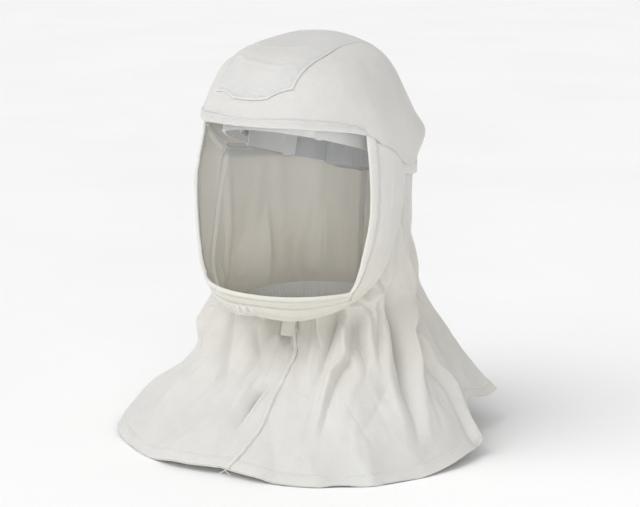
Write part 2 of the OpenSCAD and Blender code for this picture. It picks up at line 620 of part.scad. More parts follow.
module vent_slider() {
    color("dimgray") {
        difference() {
            brow_arc(vent_r1 - 1.3, vent_r2 + 1.3, -36, 36, plenum_z1 - 1.5, plenum_z1 - 0.3);
            vents(plenum_z1 - 3, plenum_z1 + 1);
        }
        for (s = [1, -1]) brow_arc(vent_r2 - 1, vent_r2 + 0.9, s * 24 - 1.4, s * 24 + 1.4,
            plenum_z1 - 7, plenum_z1 - 1.3);
    }
}
module front_adapter() {
    mouth_y = plenum_c - plenum_r1 - 1;
    color("darkgray") intersection() {
        difference() {
            hull() {
                duct_slice(duct_front - 0.6, 0, 1);
                translate([-rear_w / 2 - 1.5, mouth_y, plenum_z1 + 0.5]) cube([rear_w + 3, 4, rear_h + 3]);
            }
            hull() {
                duct_slice(duct_front - 0.6, -duct_wall, 4);
                translate([-rear_w / 2, mouth_y - 1, plenum_z1 + 2]) cube([rear_w, 4, rear_h]);
            }
        }
        translate([0, plenum_c, 0]) cylinder(r = plenum_r1 - 0.05, h = 120, $fn = 180);
    }
}

// ---------- hose inlet at the back ----------

// The port stands square to the crown; its y is 0 at the fabric's outer face
port_t = 0.17; // where it meets the crown's back, from its lower edge
port_p = crown_pt(180, port_t);
port_d = crown_pt(180, port_t + 0.06) - crown_pt(180, port_t - 0.06);
port_tilt = atan2(-port_d.y, port_d.z);
module port_frame() translate(port_p) rotate([port_tilt, 0, 0]) children();
flange_r = 22;
flange_y = -8.2;
gasket_y = -6.4;
ring_y = 0.5;
ring_t = 2.4;
spigot_r = 15.5;
spigot_end = 15;
bore_r = 12.5;
screw_pcr = 19; // the clamp screws stand on this radius
clamp_shank_r = 0.85;
groove_y = spigot_end - 6;
module port_holes(r, y1, y2) for (a = [45 : 90 : 315])
    translate([screw_pcr * cos(a), 0, screw_pcr * sin(a)]) disc(r, y1, y2);
module port_tube(r1, r2, y1, y2) difference() {
    disc(r2, y1, y2);
    disc(r1, y1 - 1, y2 + 1);
}
module inlet_housing() {
    color("gainsboro") difference() {
        union() {
            hull() {
                duct_slice(duct_rear + 0.6, 0, 1);
                port_frame() disc(flange_r - 2, flange_y - 3, flange_y + 1, $fn = 32);
            }
            port_frame() {
                disc(flange_r, flange_y, gasket_y - 0.05);
                disc(spigot_r, flange_y, spigot_end);
            }
            ratchet_frame() translate([-9, stay_y, house_h + 0.4]) cube([18, plate_t, 16]);
        }
        hull() {
            duct_slice(duct_rear + 0.6, -duct_wall, 4);
            port_frame() disc(bore_r + 2, flange_y - 4, flange_y - 1.4, $fn = 32);
        }
        port_frame() {
            disc(bore_r, flange_y - 8, spigot_end + 1);
            port_tube(spigot_r - 1.6, spigot_r + 1, groove_y, groove_y + 2.2);
            port_holes(clamp_shank_r + 0.05, flange_y - 1, gasket_y + 1);
        }
        ratchet_frame() at_stay_rivets() disc(1.6, base_y - 1, stay_y + plate_t + 3);
    }
}
module inlet_gasket() color("dimgray") port_frame() difference() {
    port_tube(spigot_r + 0.1, flange_r, gasket_y, gasket_y + 1.2);
    port_holes(clamp_shank_r + 0.2, gasket_y - 1, gasket_y + 3);
}
module clamp_ring() color("gainsboro") port_frame() difference() {
    port_tube(spigot_r + 0.1, flange_r, ring_y, ring_y + ring_t);
    port_holes(clamp_shank_r + 0.3, ring_y - 1, ring_y + ring_t + 1);
}
module clamp_screws() color("silver") port_frame() {
    port_holes(clamp_shank_r, flange_y + 0.2, ring_y + ring_t + 0.2);
    port_holes(2.2, ring_y + ring_t, ring_y + ring_t + 1.3);
}
module swivel_o_ring() color("black") port_frame() translate([0, groove_y + 1.1, 0]) rotate([-90, 0, 0])
    rotate_extrude() translate([spigot_r - 0.82, 0]) circle(r = 0.76, $fn = 32);

elbow_y = 24; // where the elbow's two axes cross
elbow_drop = 62; // the socket points this far below the horizontal
elbow_r = spigot_r + 2.4;
socket_end = 44;
socket_len = 20;
seal_y = 26.6; // the seal's groove in the socket
module socket_frame() port_frame() translate([0, elbow_y, 0])
    rotate([-elbow_drop - port_tilt, 0, 0]) children();
module hose_elbow() {
    ro = hose_r + 2.6;
    color("dimgray") difference() {
        union() {
            port_frame() disc(elbow_r, ring_y + ring_t + 1.7, elbow_y);
            port_frame() translate([0, elbow_y, 0]) sphere(r = elbow_r);
            socket_frame() {
                disc(ro, 0, socket_end);
                disc(ro + 1.6, socket_end - 6, socket_end);
                for (s = [1, -1]) translate([s * (ro + 1), socket_end - 11, 0])
                    rotate([0, 90, 0]) cylinder(r = 2, h = 3.6, center = true);
            }
        }
        port_frame() {
            disc(spigot_r + run_gap, 0, spigot_end + 0.4);
            disc(bore_r, 0, elbow_y);
            translate([0, elbow_y, 0]) sphere(r = bore_r);
        }
        socket_frame() {
            disc(bore_r, 0, socket_end + 1);
            disc(hose_r, socket_end - socket_len, socket_end + 1);
            disc(hose_r + 1.3, seal_y, seal_y + 2);
        }
    }
}
module socket_seal() color("black") socket_frame() translate([0, seal_y + 1, 0]) rotate([-90, 0, 0])
    rotate_extrude() translate([hose_r + 0.66, 0]) circle(r = 0.6, $fn = 32);

// ---------- the whole hood ----------

crown_shell();
crown_panel();
brim_hem();
visor();
visor_binding();
visor_top_strip();
visor_snaps();
cheek_panel_left();
cheek_panel_right();
chin_panel();
chin_tab();
shroud_left();
shroud_right();
front_seam();
back_seam();
nape_elastic();
inner_collar();
collar_elastic();
headband();
sweatband();
crown_strap();
crown_pad();
strap_keepers();
nape_strap_left();
nape_strap_right();
ratchet_base();
ratchet_cover();
cover_screws();
pawl_ring();
ratchet_pinion();
ratchet_knob();
knob_screw();
knob_cap();
nape_pad();
harness_rivets();
duct_upper();
duct_lower();
duct_saddle();
front_adapter();
plenum_body();
plenum_grille();
vent_slider();
inlet_housing();
inlet_gasket();
clamp_ring();
clamp_screws();
swivel_o_ring();
hose_elbow();
socket_seal();
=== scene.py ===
"""Looks of a powered air respirator's hood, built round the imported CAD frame.

The fabric pieces are rebuilt finely from the same shape rules as the CAD solids that they stand
for. Shape work is in millimetres, with angles in degrees counted from the front (-Y) towards the
wearer's left (+X), and is turned into metres when a mesh is made.
"""
import json
import math

import bmesh
import bpy
import numpy as np
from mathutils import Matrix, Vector


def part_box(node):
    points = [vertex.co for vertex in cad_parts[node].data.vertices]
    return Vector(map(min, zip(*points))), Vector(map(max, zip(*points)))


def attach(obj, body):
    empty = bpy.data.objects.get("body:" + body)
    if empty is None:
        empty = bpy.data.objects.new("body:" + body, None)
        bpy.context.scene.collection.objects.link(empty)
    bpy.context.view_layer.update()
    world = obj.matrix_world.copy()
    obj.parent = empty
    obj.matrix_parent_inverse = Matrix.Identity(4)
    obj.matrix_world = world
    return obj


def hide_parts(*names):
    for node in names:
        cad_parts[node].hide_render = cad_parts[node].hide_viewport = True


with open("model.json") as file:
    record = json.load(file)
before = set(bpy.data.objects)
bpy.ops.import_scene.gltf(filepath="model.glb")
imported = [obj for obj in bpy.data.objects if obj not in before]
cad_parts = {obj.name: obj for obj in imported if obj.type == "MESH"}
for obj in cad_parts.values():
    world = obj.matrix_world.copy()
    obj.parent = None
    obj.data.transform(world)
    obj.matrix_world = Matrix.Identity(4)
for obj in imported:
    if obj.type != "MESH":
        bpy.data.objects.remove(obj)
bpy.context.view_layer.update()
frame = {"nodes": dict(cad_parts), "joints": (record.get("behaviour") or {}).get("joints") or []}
MM = 0.001

# ---------------------------------------------------------------- camera, lights and floor

VIEW_AZ, VIEW_EL = math.radians(30), math.radians(12)
VIEW_DIST = 1.9
VIEW_TARGET = Vector((0, 0, -0.110))
VIEW_WIDTH = 0.640  # what the picture spans at the target
SHIFT = 0.0172, -0.0117
SENSOR = 36.0
WORLD_POWER, KEY_POWER, FILL_POWER = 0.64, 1.45, 12
KEY_FROM, KEY_SPREAD = Vector((-0.62, -0.84, 1.2)), 48
FILL_PLACE, FILL_AIM, FILL_SIZE = Vector((1.1, -1.7, 0.1)), Vector((0, 0, -0.08)), (0.8, 0.9)


def make_camera():
    data = bpy.data.cameras.new("camera")
    cam = bpy.data.objects.new("camera", data)
    bpy.context.scene.collection.objects.link(cam)
    back = Vector((math.sin(VIEW_AZ) * math.cos(VIEW_EL), -math.cos(VIEW_AZ) * math.cos(VIEW_EL),
                   math.sin(VIEW_EL)))
    cam.location = VIEW_TARGET + back * VIEW_DIST
    cam.rotation_euler = back.to_track_quat("Z", "Y").to_euler()
    data.sensor_width = SENSOR
    data.lens = SENSOR * VIEW_DIST / VIEW_WIDTH
    data.shift_x, data.shift_y = SHIFT
    data.clip_end = 50
    bpy.context.scene.camera = cam


def make_studio():
    scene = bpy.context.scene
    scene.view_settings.view_transform = "Standard"
    world = bpy.data.worlds.new("studio")
    scene.world = world
    world.use_nodes = True
    background = world.node_tree.nodes["Background"]
    background.inputs["Color"].default_value = (1, 1, 1, 1)
    background.inputs["Strength"].default_value = WORLD_POWER
    key = bpy.data.lights.new("key", "SUN")
    key.energy = KEY_POWER
    key.angle = math.radians(KEY_SPREAD)
    fill = bpy.data.lights.new("fill", "AREA")
    fill.shape = "RECTANGLE"
    fill.size, fill.size_y = FILL_SIZE
    fill.energy = FILL_POWER
    for data, place, way in ((key, Vector(), KEY_FROM), (fill, FILL_PLACE, FILL_PLACE - FILL_AIM)):
        lamp = bpy.data.objects.new(data.name, data)
        scene.collection.objects.link(lamp)
        lamp.location = place
        lamp.rotation_euler = way.to_track_quat("Z", "Y").to_euler()


# ---------------------------------------------------------------- shape rules, in millimetres

def curve(x, table, col=1):
    """Smooth curve through column col of a table, at x, as in the CAD source."""
    t = np.array(table, float)
    x = np.asarray(x, float)
    i = np.clip(np.searchsorted(t[:, 0], x, side="right") - 1, 0, len(t) - 2)
    n = np.arange(len(t))
    lo, hi = np.maximum(n - 1, 0), np.minimum(n + 1, len(t) - 1)
    slope = (t[hi, col] - t[lo, col]) / (t[hi, 0] - t[lo, 0])
    h = t[i + 1, 0] - t[i, 0]
    u = np.clip((x - t[i, 0]) / h, 0, 1)
    return ((2 * u**3 - 3 * u**2 + 1) * t[i, col] + (u**3 - 2 * u**2 + u) * slope[i] * h
            + (3 * u**2 - 2 * u**3) * t[i + 1, col] + (u**3 - u**2) * slope[i + 1] * h)


def smooth(x, a, b):
    """0 below a, 1 above b, and a smooth step between."""
    u = np.clip((np.asarray(x, float) - a) / (b - a), 0, 1)
    return u * u * (3 - 2 * u)


def bump(x, centre, width):
    return np.exp(-((np.asarray(x, float) - centre) / width) ** 2)


def sin(a):
    return np.sin(np.radians(a))


def cos(a):
    return np.cos(np.radians(a))


def spow(v, p):
    return np.sign(v) * np.abs(v) ** p


def unit(v):
    return v / np.linalg.norm(v, axis=-1, keepdims=True)


def grid(first, second):
    """Two arrays over a grid: one that changes along i and one that changes along j."""
    return np.broadcast_arrays(first[:, None], second[None, :])


def turn(th):
    """Unsigned angle from the front, 0 to 180."""
    return np.abs((np.asarray(th, float) + 180) % 360 - 180)


CROWN_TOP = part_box("crown_shell")[1].z / MM
FLOOR_Z, FLOOR_HALF = -300.5, 16000
HEM_R = 186
HEM_FRONT, HEM_BACK = -291, -258
BRIM_FRONT = 26
VISOR_HALF = 66
VISOR_BOTTOM = -135
WALL_Y, APEX_Y, FRONT_N, CROWN_N = -5, 22, 2.15, 2.25
WALL = [(-178, 66, 88, 95), (-165, 76, 93, 97), (-150, 88, 97, 100), (-130, 99, 102, 104),
        (-100, 104, 107, 110), (-60, 107, 110, 120), (-20, 105, 111, 131), (10, 101, 110, 132),
        (40, 98, 107, 128)]
BRIM = [(0, 0), (30, 1), (65, 9), (80, 26), (97, 46), (130, 52), (180, 56)]


def wall_pt(th, z, inset=0.0):
    """Point on the hood's wall at angle th and height z, moved inwards by inset."""
    th, z = np.broadcast_arrays(np.asarray(th, float), np.asarray(z, float))
    c = cos(th)
    n = np.where(c > 0, FRONT_N, 2.0)
    a = curve(z, WALL, 1) - inset
    reach = np.where(c > 0, -(curve(z, WALL, 2) - inset), curve(z, WALL, 3) - inset)
    return np.stack([a * spow(sin(th), 2 / n), WALL_Y + reach * np.abs(c) ** (2 / n), z], -1)


def wall_face(th, z, inset=0.0):
    """Points of the wall and the way outwards from each."""
    base = wall_pt(th, z, inset)
    return base, unit(wall_pt(th, z, inset - 1.0) - base)


def signed(th):
    """Angle from the front, -180 to 180, above 0 on the wearer's left."""
    return (np.asarray(th, float) + 180) % 360 - 180


def brim_z(th):
    """Height of the crown's lower edge, which rides up a little on the wearer's right."""
    far = smooth(-signed(th), 35, 62) * (1 - smooth(-signed(th), 78, 100))
    return BRIM_FRONT - curve(turn(th), BRIM) + 5.5 * far


def far_side(th, z):
    """How far the worn hood is pressed in at the top of the visor's right side."""
    return 3.5 * bump(signed(th), -70, 28) * smooth(z, -45, 12)


def plan_n(th):
    """Power of the crown's meridian curves, a little lower over the brow."""
    return 2.15 - 0.25 * np.maximum(0, cos(th))


def crown_pt(th, t, inset=0.0):
    """Point on the crown, t from 0 at its lower edge to 1 at its top."""
    th, t = np.broadcast_arrays(np.asarray(th, float), np.asarray(t, float))
    zb = brim_z(th)
    b = wall_pt(th, zb, inset)
    rho = np.clip(cos(90 * t), 0, 1) ** (2 / plan_n(th))
    h = sin(90 * t) ** (2 / CROWN_N)
    return np.stack([b[..., 0] * rho, APEX_Y + (b[..., 1] - APEX_Y) * rho,
                     zb + (CROWN_TOP - inset - zb) * h], -1)


ANGLES = np.linspace(0, 180, 721)
_EDGE = wall_pt(ANGLES, brim_z(ANGLES))
BEARINGS = np.degrees(np.arctan2(_EDGE[:, 0], APEX_Y - _EDGE[:, 1]))


def outside_crown(p):
    """Above 0 outside the crown and below 0 inside it, for points p."""
    th = np.interp(np.degrees(np.arctan2(np.abs(p[..., 0]), APEX_Y - p[..., 1])), BEARINGS, ANGLES)
    zb = brim_z(th)
    b = wall_pt(th, zb)
    rho = np.hypot(p[..., 0], p[..., 1] - APEX_Y) / np.hypot(b[..., 0], b[..., 1] - APEX_Y)
    h = np.maximum(0, (p[..., 2] - zb) / (CROWN_TOP - zb))
    return rho ** plan_n(th) + h**CROWN_N - 1


RAY_Z = 20.0  # the rays that find the crown start on the axis through (0, RAY_Z)


def crown_ray(x, beta):
    """Where the crown is met from (x, 0, RAY_Z) at angle beta above the front."""
    x, beta = np.broadcast_arrays(np.asarray(x, float), np.asarray(beta, float))
    way = np.stack([0 * x, -cos(beta), sin(beta)], -1)
    start = np.stack([x, 0 * x, RAY_Z + 0 * x], -1)
    lo, hi = np.full(x.shape, 20.0), np.full(x.shape, 160.0)
    for _ in range(32):
        mid = (lo + hi) / 2
        out = outside_crown(start + way * mid[..., None]) > 0
        hi, lo = np.where(out, mid, hi), np.where(out, lo, mid)
    return start + way * lo[..., None]


def grid_normals(p, wrap=False):
    """Unit normals of a point grid p[i, j], which point away from the body's axis."""
    if wrap:
        q = np.concatenate([p[-1:], p, p[:1]])
        di = (q[2:] - q[:-2]) / 2
    else:
        di = np.gradient(p, axis=0)
    n = np.cross(di, np.gradient(p, axis=1))
    n /= np.maximum(np.linalg.norm(n, axis=-1, keepdims=True), 1e-9)
    outward = (n * (p - p.reshape(-1, 3).mean(0))).sum(-1).mean()
    return n if outward > 0 else -n


def ripple(p, size, seed):
    """Smooth noise of about unit height over points p, with features of the given size."""
    rng = np.random.default_rng(seed)
    total = np.zeros(p.shape[:-1])
    for _ in range(10):
        k = rng.normal(size=3)
        k /= np.linalg.norm(k)
        total += np.sin((p @ k) * 2 * np.pi / (size * rng.uniform(0.7, 1.6)) + rng.uniform(0, 2 * np.pi))
    return total / 5**0.5


# ---------------------------------------------------------------- meshes

def shade(mesh):
    for poly in mesh.polygons:
        poly.use_smooth = True


def add_mesh(name, verts, faces):
    mesh = bpy.data.meshes.new(name)
    mesh.from_pydata((np.asarray(verts, float).reshape(-1, 3) * MM).tolist(), [], faces)
    mesh.update()
    shade(mesh)
    obj = bpy.data.objects.new(name, mesh)
    bpy.context.scene.collection.objects.link(obj)
    return obj


def grid_faces(n, m, wrap=False, flip=False):
    rows = n if wrap else n - 1
    i, j = np.meshgrid(np.arange(rows), np.arange(m - 1), indexing="ij")
    a = i * m + j
    b = ((i + 1) % n) * m + j
    quads = np.stack([a, b, b + 1, a + 1], -1).reshape(-1, 4)
    return (quads[:, ::-1] if flip else quads).tolist()


def slab(name, outer, inner, wrap=False):
    """A closed solid between two point grids, with its edges joined."""
    n, m = outer.shape[:2]
    verts = np.concatenate([outer.reshape(-1, 3), inner.reshape(-1, 3)])
    di = np.roll(outer, -1, axis=0)[: n - 1, : m - 1] - outer[: n - 1, : m - 1]
    dj = outer[: n - 1, 1:] - outer[: n - 1, : m - 1]
    out = (outer - inner)[: n - 1, : m - 1]
    flip = (np.cross(di, dj) * out).sum() < 0
    k = n * m
    faces = grid_faces(n, m, wrap, flip)
    faces += [[k + v for v in reversed(f)] for f in faces]

    def edge(path):
        for a, b in zip(path, path[1:]):
            quad = [a, b, b + k, a + k]
            faces.append(quad if flip else quad[::-1])

    cols = list(range(n)) + ([0] if wrap else [])
    edge([i * m for i in reversed(cols)])
    edge([i * m + m - 1 for i in cols])
    if not wrap:
        edge([j for j in range(m)])
        edge([(n - 1) * m + j for j in reversed(range(m))])
    return add_mesh(name, verts, faces)


def ring_faces(n, m, closed=False):
    """Faces round a string of n rings of m points, with caps unless it closes on itself."""
    faces = []
    for i in range(n if closed else n - 1):
        a, b = i * m, (i + 1) % n * m
        faces += [[a + j, a + (j + 1) % m, b + (j + 1) % m, b + j] for j in range(m)]
    if not closed:
        faces += [list(range(m - 1, -1, -1)), [(n - 1) * m + j for j in range(m)]]
    return faces


def tube(name, path, radius, sides=10):
    """A round cord along a path, with its ends closed."""
    step = unit(np.gradient(path, axis=0))
    side = unit(np.cross(step, [0.13, 0.21, 0.97]))
    up = np.cross(side, step)
    a = np.linspace(0, 360, sides, endpoint=False)[None, :, None]
    rings = path[:, None] + radius * (side[:, None] * cos(a) + up[:, None] * sin(a))
    return add_mesh(name, rings, [face[::-1] for face in ring_faces(len(path), sides)])


def sample(at, marks, rows):
    """Points of rows, interpolated from their marks to other places."""
    return np.stack([np.interp(at, marks, rows[:, k]) for k in range(3)], -1)


def along(path, spacing):
    """Points and unit steps at equal spacings along a path."""
    path = np.asarray(path, float)
    length = np.concatenate([[0], np.cumsum(np.linalg.norm(np.diff(path, axis=0), axis=1))])
    s = np.arange(spacing / 2, length[-1], spacing)
    at = sample(s, length, path)
    ahead = sample(s + 0.1, length, path) - at
    return at, ahead / np.maximum(np.linalg.norm(ahead, axis=-1, keepdims=True), 1e-9)


STITCH_SIDES = 6


def stitches(name, paths, pitch, length, radius):
    """Rows of thread stitches that lie along the paths, as one mesh of small capsules."""
    verts, faces = [], []
    capsule = [(-0.5, 0.2), (-0.4, 0.8), (-0.2, 1.0), (0.2, 1.0), (0.4, 0.8), (0.5, 0.2)]
    turns = [2 * math.pi * k / STITCH_SIDES for k in range(STITCH_SIDES)]
    shape = ring_faces(len(capsule), STITCH_SIDES)
    for path in paths:
        at, way = along(path, pitch)
        side = unit(np.cross(way, [0.1, 0.2, 0.97]))
        up = np.cross(side, way)
        for p, w, s, u in zip(at, way, side, up):
            faces += [[len(verts) + k for k in face] for face in shape]
            verts += [p + w * x * length + (s * math.cos(a) + u * math.sin(a)) * r * radius
                      for x, r in capsule for a in turns]
    return add_mesh(name, verts, faces)


# ---------------------------------------------------------------- materials

def new_material(name):
    mat = bpy.data.materials.new(name)
    mat.use_nodes = True
    tree = mat.node_tree
    shader = tree.nodes["Principled BSDF"]
    return mat, tree, shader


def put(node, values):
    """Sets a node's inputs by name."""
    for name, value in values.items():
        node.inputs[name].default_value = value


def noise_node(tree, scale, detail=3.0, rough=0.5):
    coords = tree.nodes.new("ShaderNodeTexCoord")
    node = tree.nodes.new("ShaderNodeTexNoise")
    put(node, {"Scale": scale, "Detail": detail, "Roughness": rough})
    tree.links.new(coords.outputs["Object"], node.inputs["Vector"])
    return node


def ramp_node(tree, source, low, high, at=(0.35, 0.65)):
    ramp = tree.nodes.new("ShaderNodeValToRGB")
    ramp.color_ramp.elements[0].position = at[0]
    ramp.color_ramp.elements[1].position = at[1]
    ramp.color_ramp.elements[0].color = (*low, 1)
    ramp.color_ramp.elements[1].color = (*high, 1)
    tree.links.new(source, ramp.inputs["Fac"])
    return ramp


def feed(tree, noise, low, high, socket):
    """Drives a shader's socket by a noise between two colours, or two values."""
    ends = [(v,) * 3 if isinstance(v, float) else v for v in (low, high)]
    ramp = ramp_node(tree, noise.outputs["Fac"], *ends)
    tree.links.new(ramp.outputs["Color"], socket)


def add_bump(tree, shader, heights):
    """Chains bump nodes, each a (height socket, strength, distance in metres)."""
    last = None
    for socket, strength, distance in heights:
        node = tree.nodes.new("ShaderNodeBump")
        put(node, {"Strength": strength, "Distance": distance})
        tree.links.new(socket, node.inputs["Height"])
        if last:
            tree.links.new(last.outputs["Normal"], node.inputs["Normal"])
        last = node
    tree.links.new(last.outputs["Normal"], shader.inputs["Normal"])


def neck_shade_tint(tree, colour, amount):
    """Paints shade into a colour: a creamy, slightly darker tint round the height of the neck, where shade
    falls under the chin.
    """
    coords = tree.nodes.new("ShaderNodeTexCoord")
    split = tree.nodes.new("ShaderNodeSeparateXYZ")
    tree.links.new(coords.outputs["Object"], split.inputs["Vector"])
    rise = tree.nodes.new("ShaderNodeMapRange")
    fall = tree.nodes.new("ShaderNodeMapRange")
    for node, lo, hi in ((rise, -0.265, -0.19), (fall, -0.05, -0.14)):
        node.interpolation_type = "SMOOTHSTEP"
        put(node, {"From Min": lo, "From Max": hi})
        tree.links.new(split.outputs["Z"], node.inputs["Value"])
    both = tree.nodes.new("ShaderNodeMath")
    both.operation = "MULTIPLY"
    tree.links.new(rise.outputs["Result"], both.inputs[0])
    tree.links.new(fall.outputs["Result"], both.inputs[1])
    share = tree.nodes.new("ShaderNodeMath")
    share.operation = "MULTIPLY"
    share.inputs[1].default_value = amount
    tree.links.new(both.outputs["Value"], share.inputs[0])
    mix = tree.nodes.new("ShaderNodeMix")
    mix.data_type = "RGBA"
    mix.blend_type = "MULTIPLY"
    # cream of the painted shade round the neck
    mix.inputs["B"].default_value = (1.0, 0.965, 0.86, 1)
    tree.links.new(share.outputs["Value"], mix.inputs["Factor"])
    tree.links.new(colour.outputs["Color"], mix.inputs["A"])
    return mix


def fabric(name, low, high, roughness=0.62, weave=1500, wrinkle=0.3, soft=0.0):
    """Coated nonwoven cloth: mottled colour, a fine fibre grain and faint creases, and with soft above 0 a
    painted shade round the neck.
    """
    mat, tree, shader = new_material(name)
    mottle = noise_node(tree, 14, 4, 0.6)
    colour = ramp_node(tree, mottle.outputs["Fac"], low, high)
    # soft is the strength of the painted shade, a creamy tint round the neck
    if soft:
        colour = neck_shade_tint(tree, colour, soft)
    tree.links.new(colour.outputs["Result" if soft else "Color"], shader.inputs["Base Color"])
    grain = noise_node(tree, weave, 2, 0.6)
    feed(tree, grain, roughness - 0.08, roughness + 0.08, shader.inputs["Roughness"])
    crease = noise_node(tree, 38, 5, 0.55)
    add_bump(tree, shader, [(crease.outputs["Fac"], wrinkle, 0.004), (grain.outputs["Fac"], 0.25, 0.0003)])
    put(shader, {"Sheen Weight": 0.12, "Sheen Roughness": 0.5, "Specular IOR Level": 0.35,
                 "Subsurface Weight": 0.6, "Subsurface Radius": (1.0, 0.9, 0.75),
                 "Subsurface Scale": 0.004})
    return mat


def knit(name, low, high):
    """Soft ribbed knit for the collar."""
    mat, tree, shader = new_material(name)
    mottle = noise_node(tree, 30, 3)
    feed(tree, mottle, low, high, shader.inputs["Base Color"])
    grain = noise_node(tree, 900, 3, 0.7)
    add_bump(tree, shader, [(grain.outputs["Fac"], 0.5, 0.0006)])
    put(shader, {"Roughness": 0.85, "Sheen Weight": 0.3})
    return mat


def plastic(name, low, high, roughness=0.42, grain=0.12):
    """Moulded plastic with a fine spark-eroded grain and slight mottling."""
    mat, tree, shader = new_material(name)
    mottle = noise_node(tree, 25, 3)
    feed(tree, mottle, low, high, shader.inputs["Base Color"])
    fine = noise_node(tree, 1800, 2)
    feed(tree, fine, roughness - 0.06, roughness + 0.06, shader.inputs["Roughness"])
    add_bump(tree, shader, [(fine.outputs["Fac"], grain, 0.0002)])
    return mat


def steel(name):
    mat, tree, shader = new_material(name)
    streaks = noise_node(tree, 600, 4)
    feed(tree, streaks, (0.50, 0.50, 0.51), (0.68, 0.68, 0.69), shader.inputs["Base Color"])
    feed(tree, streaks, 0.22, 0.36, shader.inputs["Roughness"])
    shader.inputs["Metallic"].default_value = 1.0
    return mat


def rubber(name):
    mat, tree, shader = new_material(name)
    fine = noise_node(tree, 700, 3)
    feed(tree, fine, 0.02, 0.045, shader.inputs["Base Color"])
    add_bump(tree, shader, [(fine.outputs["Fac"], 0.2, 0.0003)])
    shader.inputs["Roughness"].default_value = 0.6
    return mat


def clear_film(name):
    """Clear acetate sheet: mostly see-through, with a glossy face."""
    mat, tree, shader = new_material(name)
    haze = noise_node(tree, 9, 3)
    feed(tree, haze, 0.03, 0.09, shader.inputs["Roughness"])
    put(shader, {"Base Color": (0.80, 0.82, 0.80, 1), "Alpha": 0.045, "IOR": 1.47})
    return mat


def floor_paper(name):
    mat, tree, shader = new_material(name)
    fine = noise_node(tree, 3, 3)
    feed(tree, fine, (0.93, 0.93, 0.93), (0.95, 0.95, 0.95), shader.inputs["Base Color"])
    shader.inputs["Roughness"].default_value = 0.9
    return mat


MATS = {
    # hood_fabric and trim_fabric carry painted shade round the neck (soft=0.4)
    "hood_fabric": fabric("hood_fabric", (0.60, 0.588, 0.562), (0.64, 0.628, 0.603), soft=0.4),
    "trim_fabric": fabric("trim_fabric", (0.63, 0.624, 0.60), (0.67, 0.664, 0.64), wrinkle=0.15, soft=0.4),
    "collar_knit": knit("collar_knit", (0.68, 0.66, 0.61), (0.74, 0.72, 0.67)),
    "pad_cloth": fabric("pad_cloth", (0.52, 0.53, 0.54), (0.60, 0.61, 0.62), 0.8, 1100, 0.1),
    "thread": fabric("thread", (0.78, 0.77, 0.75), (0.84, 0.83, 0.81), 0.5, 3000, 0.0),
    "white_plastic": plastic("white_plastic", (0.72, 0.72, 0.71), (0.77, 0.77, 0.76)),
    "grey_plastic": plastic("grey_plastic", (0.42, 0.43, 0.44), (0.48, 0.49, 0.50)),
    "dark_plastic": plastic("dark_plastic", (0.045, 0.047, 0.05), (0.065, 0.067, 0.07)),
    "steel": steel("steel"),
    "rubber": rubber("rubber"),
    "visor_film": clear_film("visor_film"),
}


def dress(obj, material):
    obj.data.materials.clear()
    obj.data.materials.append(MATS[material])
    return obj


def piece(obj, material, slot, *nodes, body="hood"):
    """Gives a new piece its material and body, and hides the CAD nodes that it stands for."""
    dress(obj, material)
    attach(obj, body)
    if nodes:
        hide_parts(*nodes)
    return obj


def sew(name, rows, pitch, length, radius, slot):
    return piece(stitches(name, rows, pitch, length, radius), "thread", slot)


# ---------------------------------------------------------------- crown

PORT = [j for j in frame["joints"] if j["name"] == "hose_swivel"][0]
PORT_P = np.array(PORT["pos_m"]) / MM
PORT_AXIS = np.array(PORT["axis"])
CLOTH_T = 1.2


def flatten_port(p):
    """Presses the fabric flat where the clamp ring holds it."""
    d = p - PORT_P
    out = d @ PORT_AXIS
    r = np.linalg.norm(d - out[..., None] * PORT_AXIS, axis=-1)
    near = (1 - smooth(r, 25, 40)) * (np.abs(out) < 40)
    return p - (out * near)[..., None] * PORT_AXIS


def crown_lift(p, th, t):
    """How far the soft crown stands out from its plain shape."""
    a = turn(th)
    z = p[..., 2]
    over = np.clip((a - 66) / 29, 0, 1)
    lift = 12.0 * bump(a, 146, 30) * bump(z, 4, 15) * smooth(a, 92, 118)
    lift -= 3.5 * bump(a, 135, 35) * bump(z, 50, 22)
    lift += 1.6 * bump(a, 72, 8) * bump(z, 18, 16) * smooth(a, 55, 66)
    lift -= 1.2 * bump(a, 88, 7) * bump(z, 22, 26)
    lift += 2.6 * sin(180 * over) * (1 - smooth(z - brim_z(th), 4, 48))
    lift += 0.9 * bump(signed(th), 101, 6) * smooth(z, -20, 20) * (1 - smooth(z, 60, 95))
    lift += 0.45 * ripple(p, 75, 3) * smooth(1 - t, 0.0, 0.25)
    lift += 0.8 * ripple(p, 46, 5) * smooth(a, 110, 140) * (1 - smooth(z, 10, 45))
    lift -= 4.0 * smooth(z, 80, 105)
    lift -= 4.0 * smooth(-z, 8, 28) * smooth(a, 98, 122)
    lift -= far_side(th, z) + 4.5 * bump(signed(th), -76, 38) * smooth(z, 27, 52) * (1 - smooth(z, 60, 78))
    lift += 3.4 * bump(p[..., 0], -34, 17) * smooth(z, 66, 88)
    return lift


def crown_surface(th, t):
    """The crown's outer face with its soft bulges and folds."""
    p = crown_pt(th, t)
    return flatten_port(p + grid_normals(p, wrap=True) * crown_lift(p, th, t)[..., None])


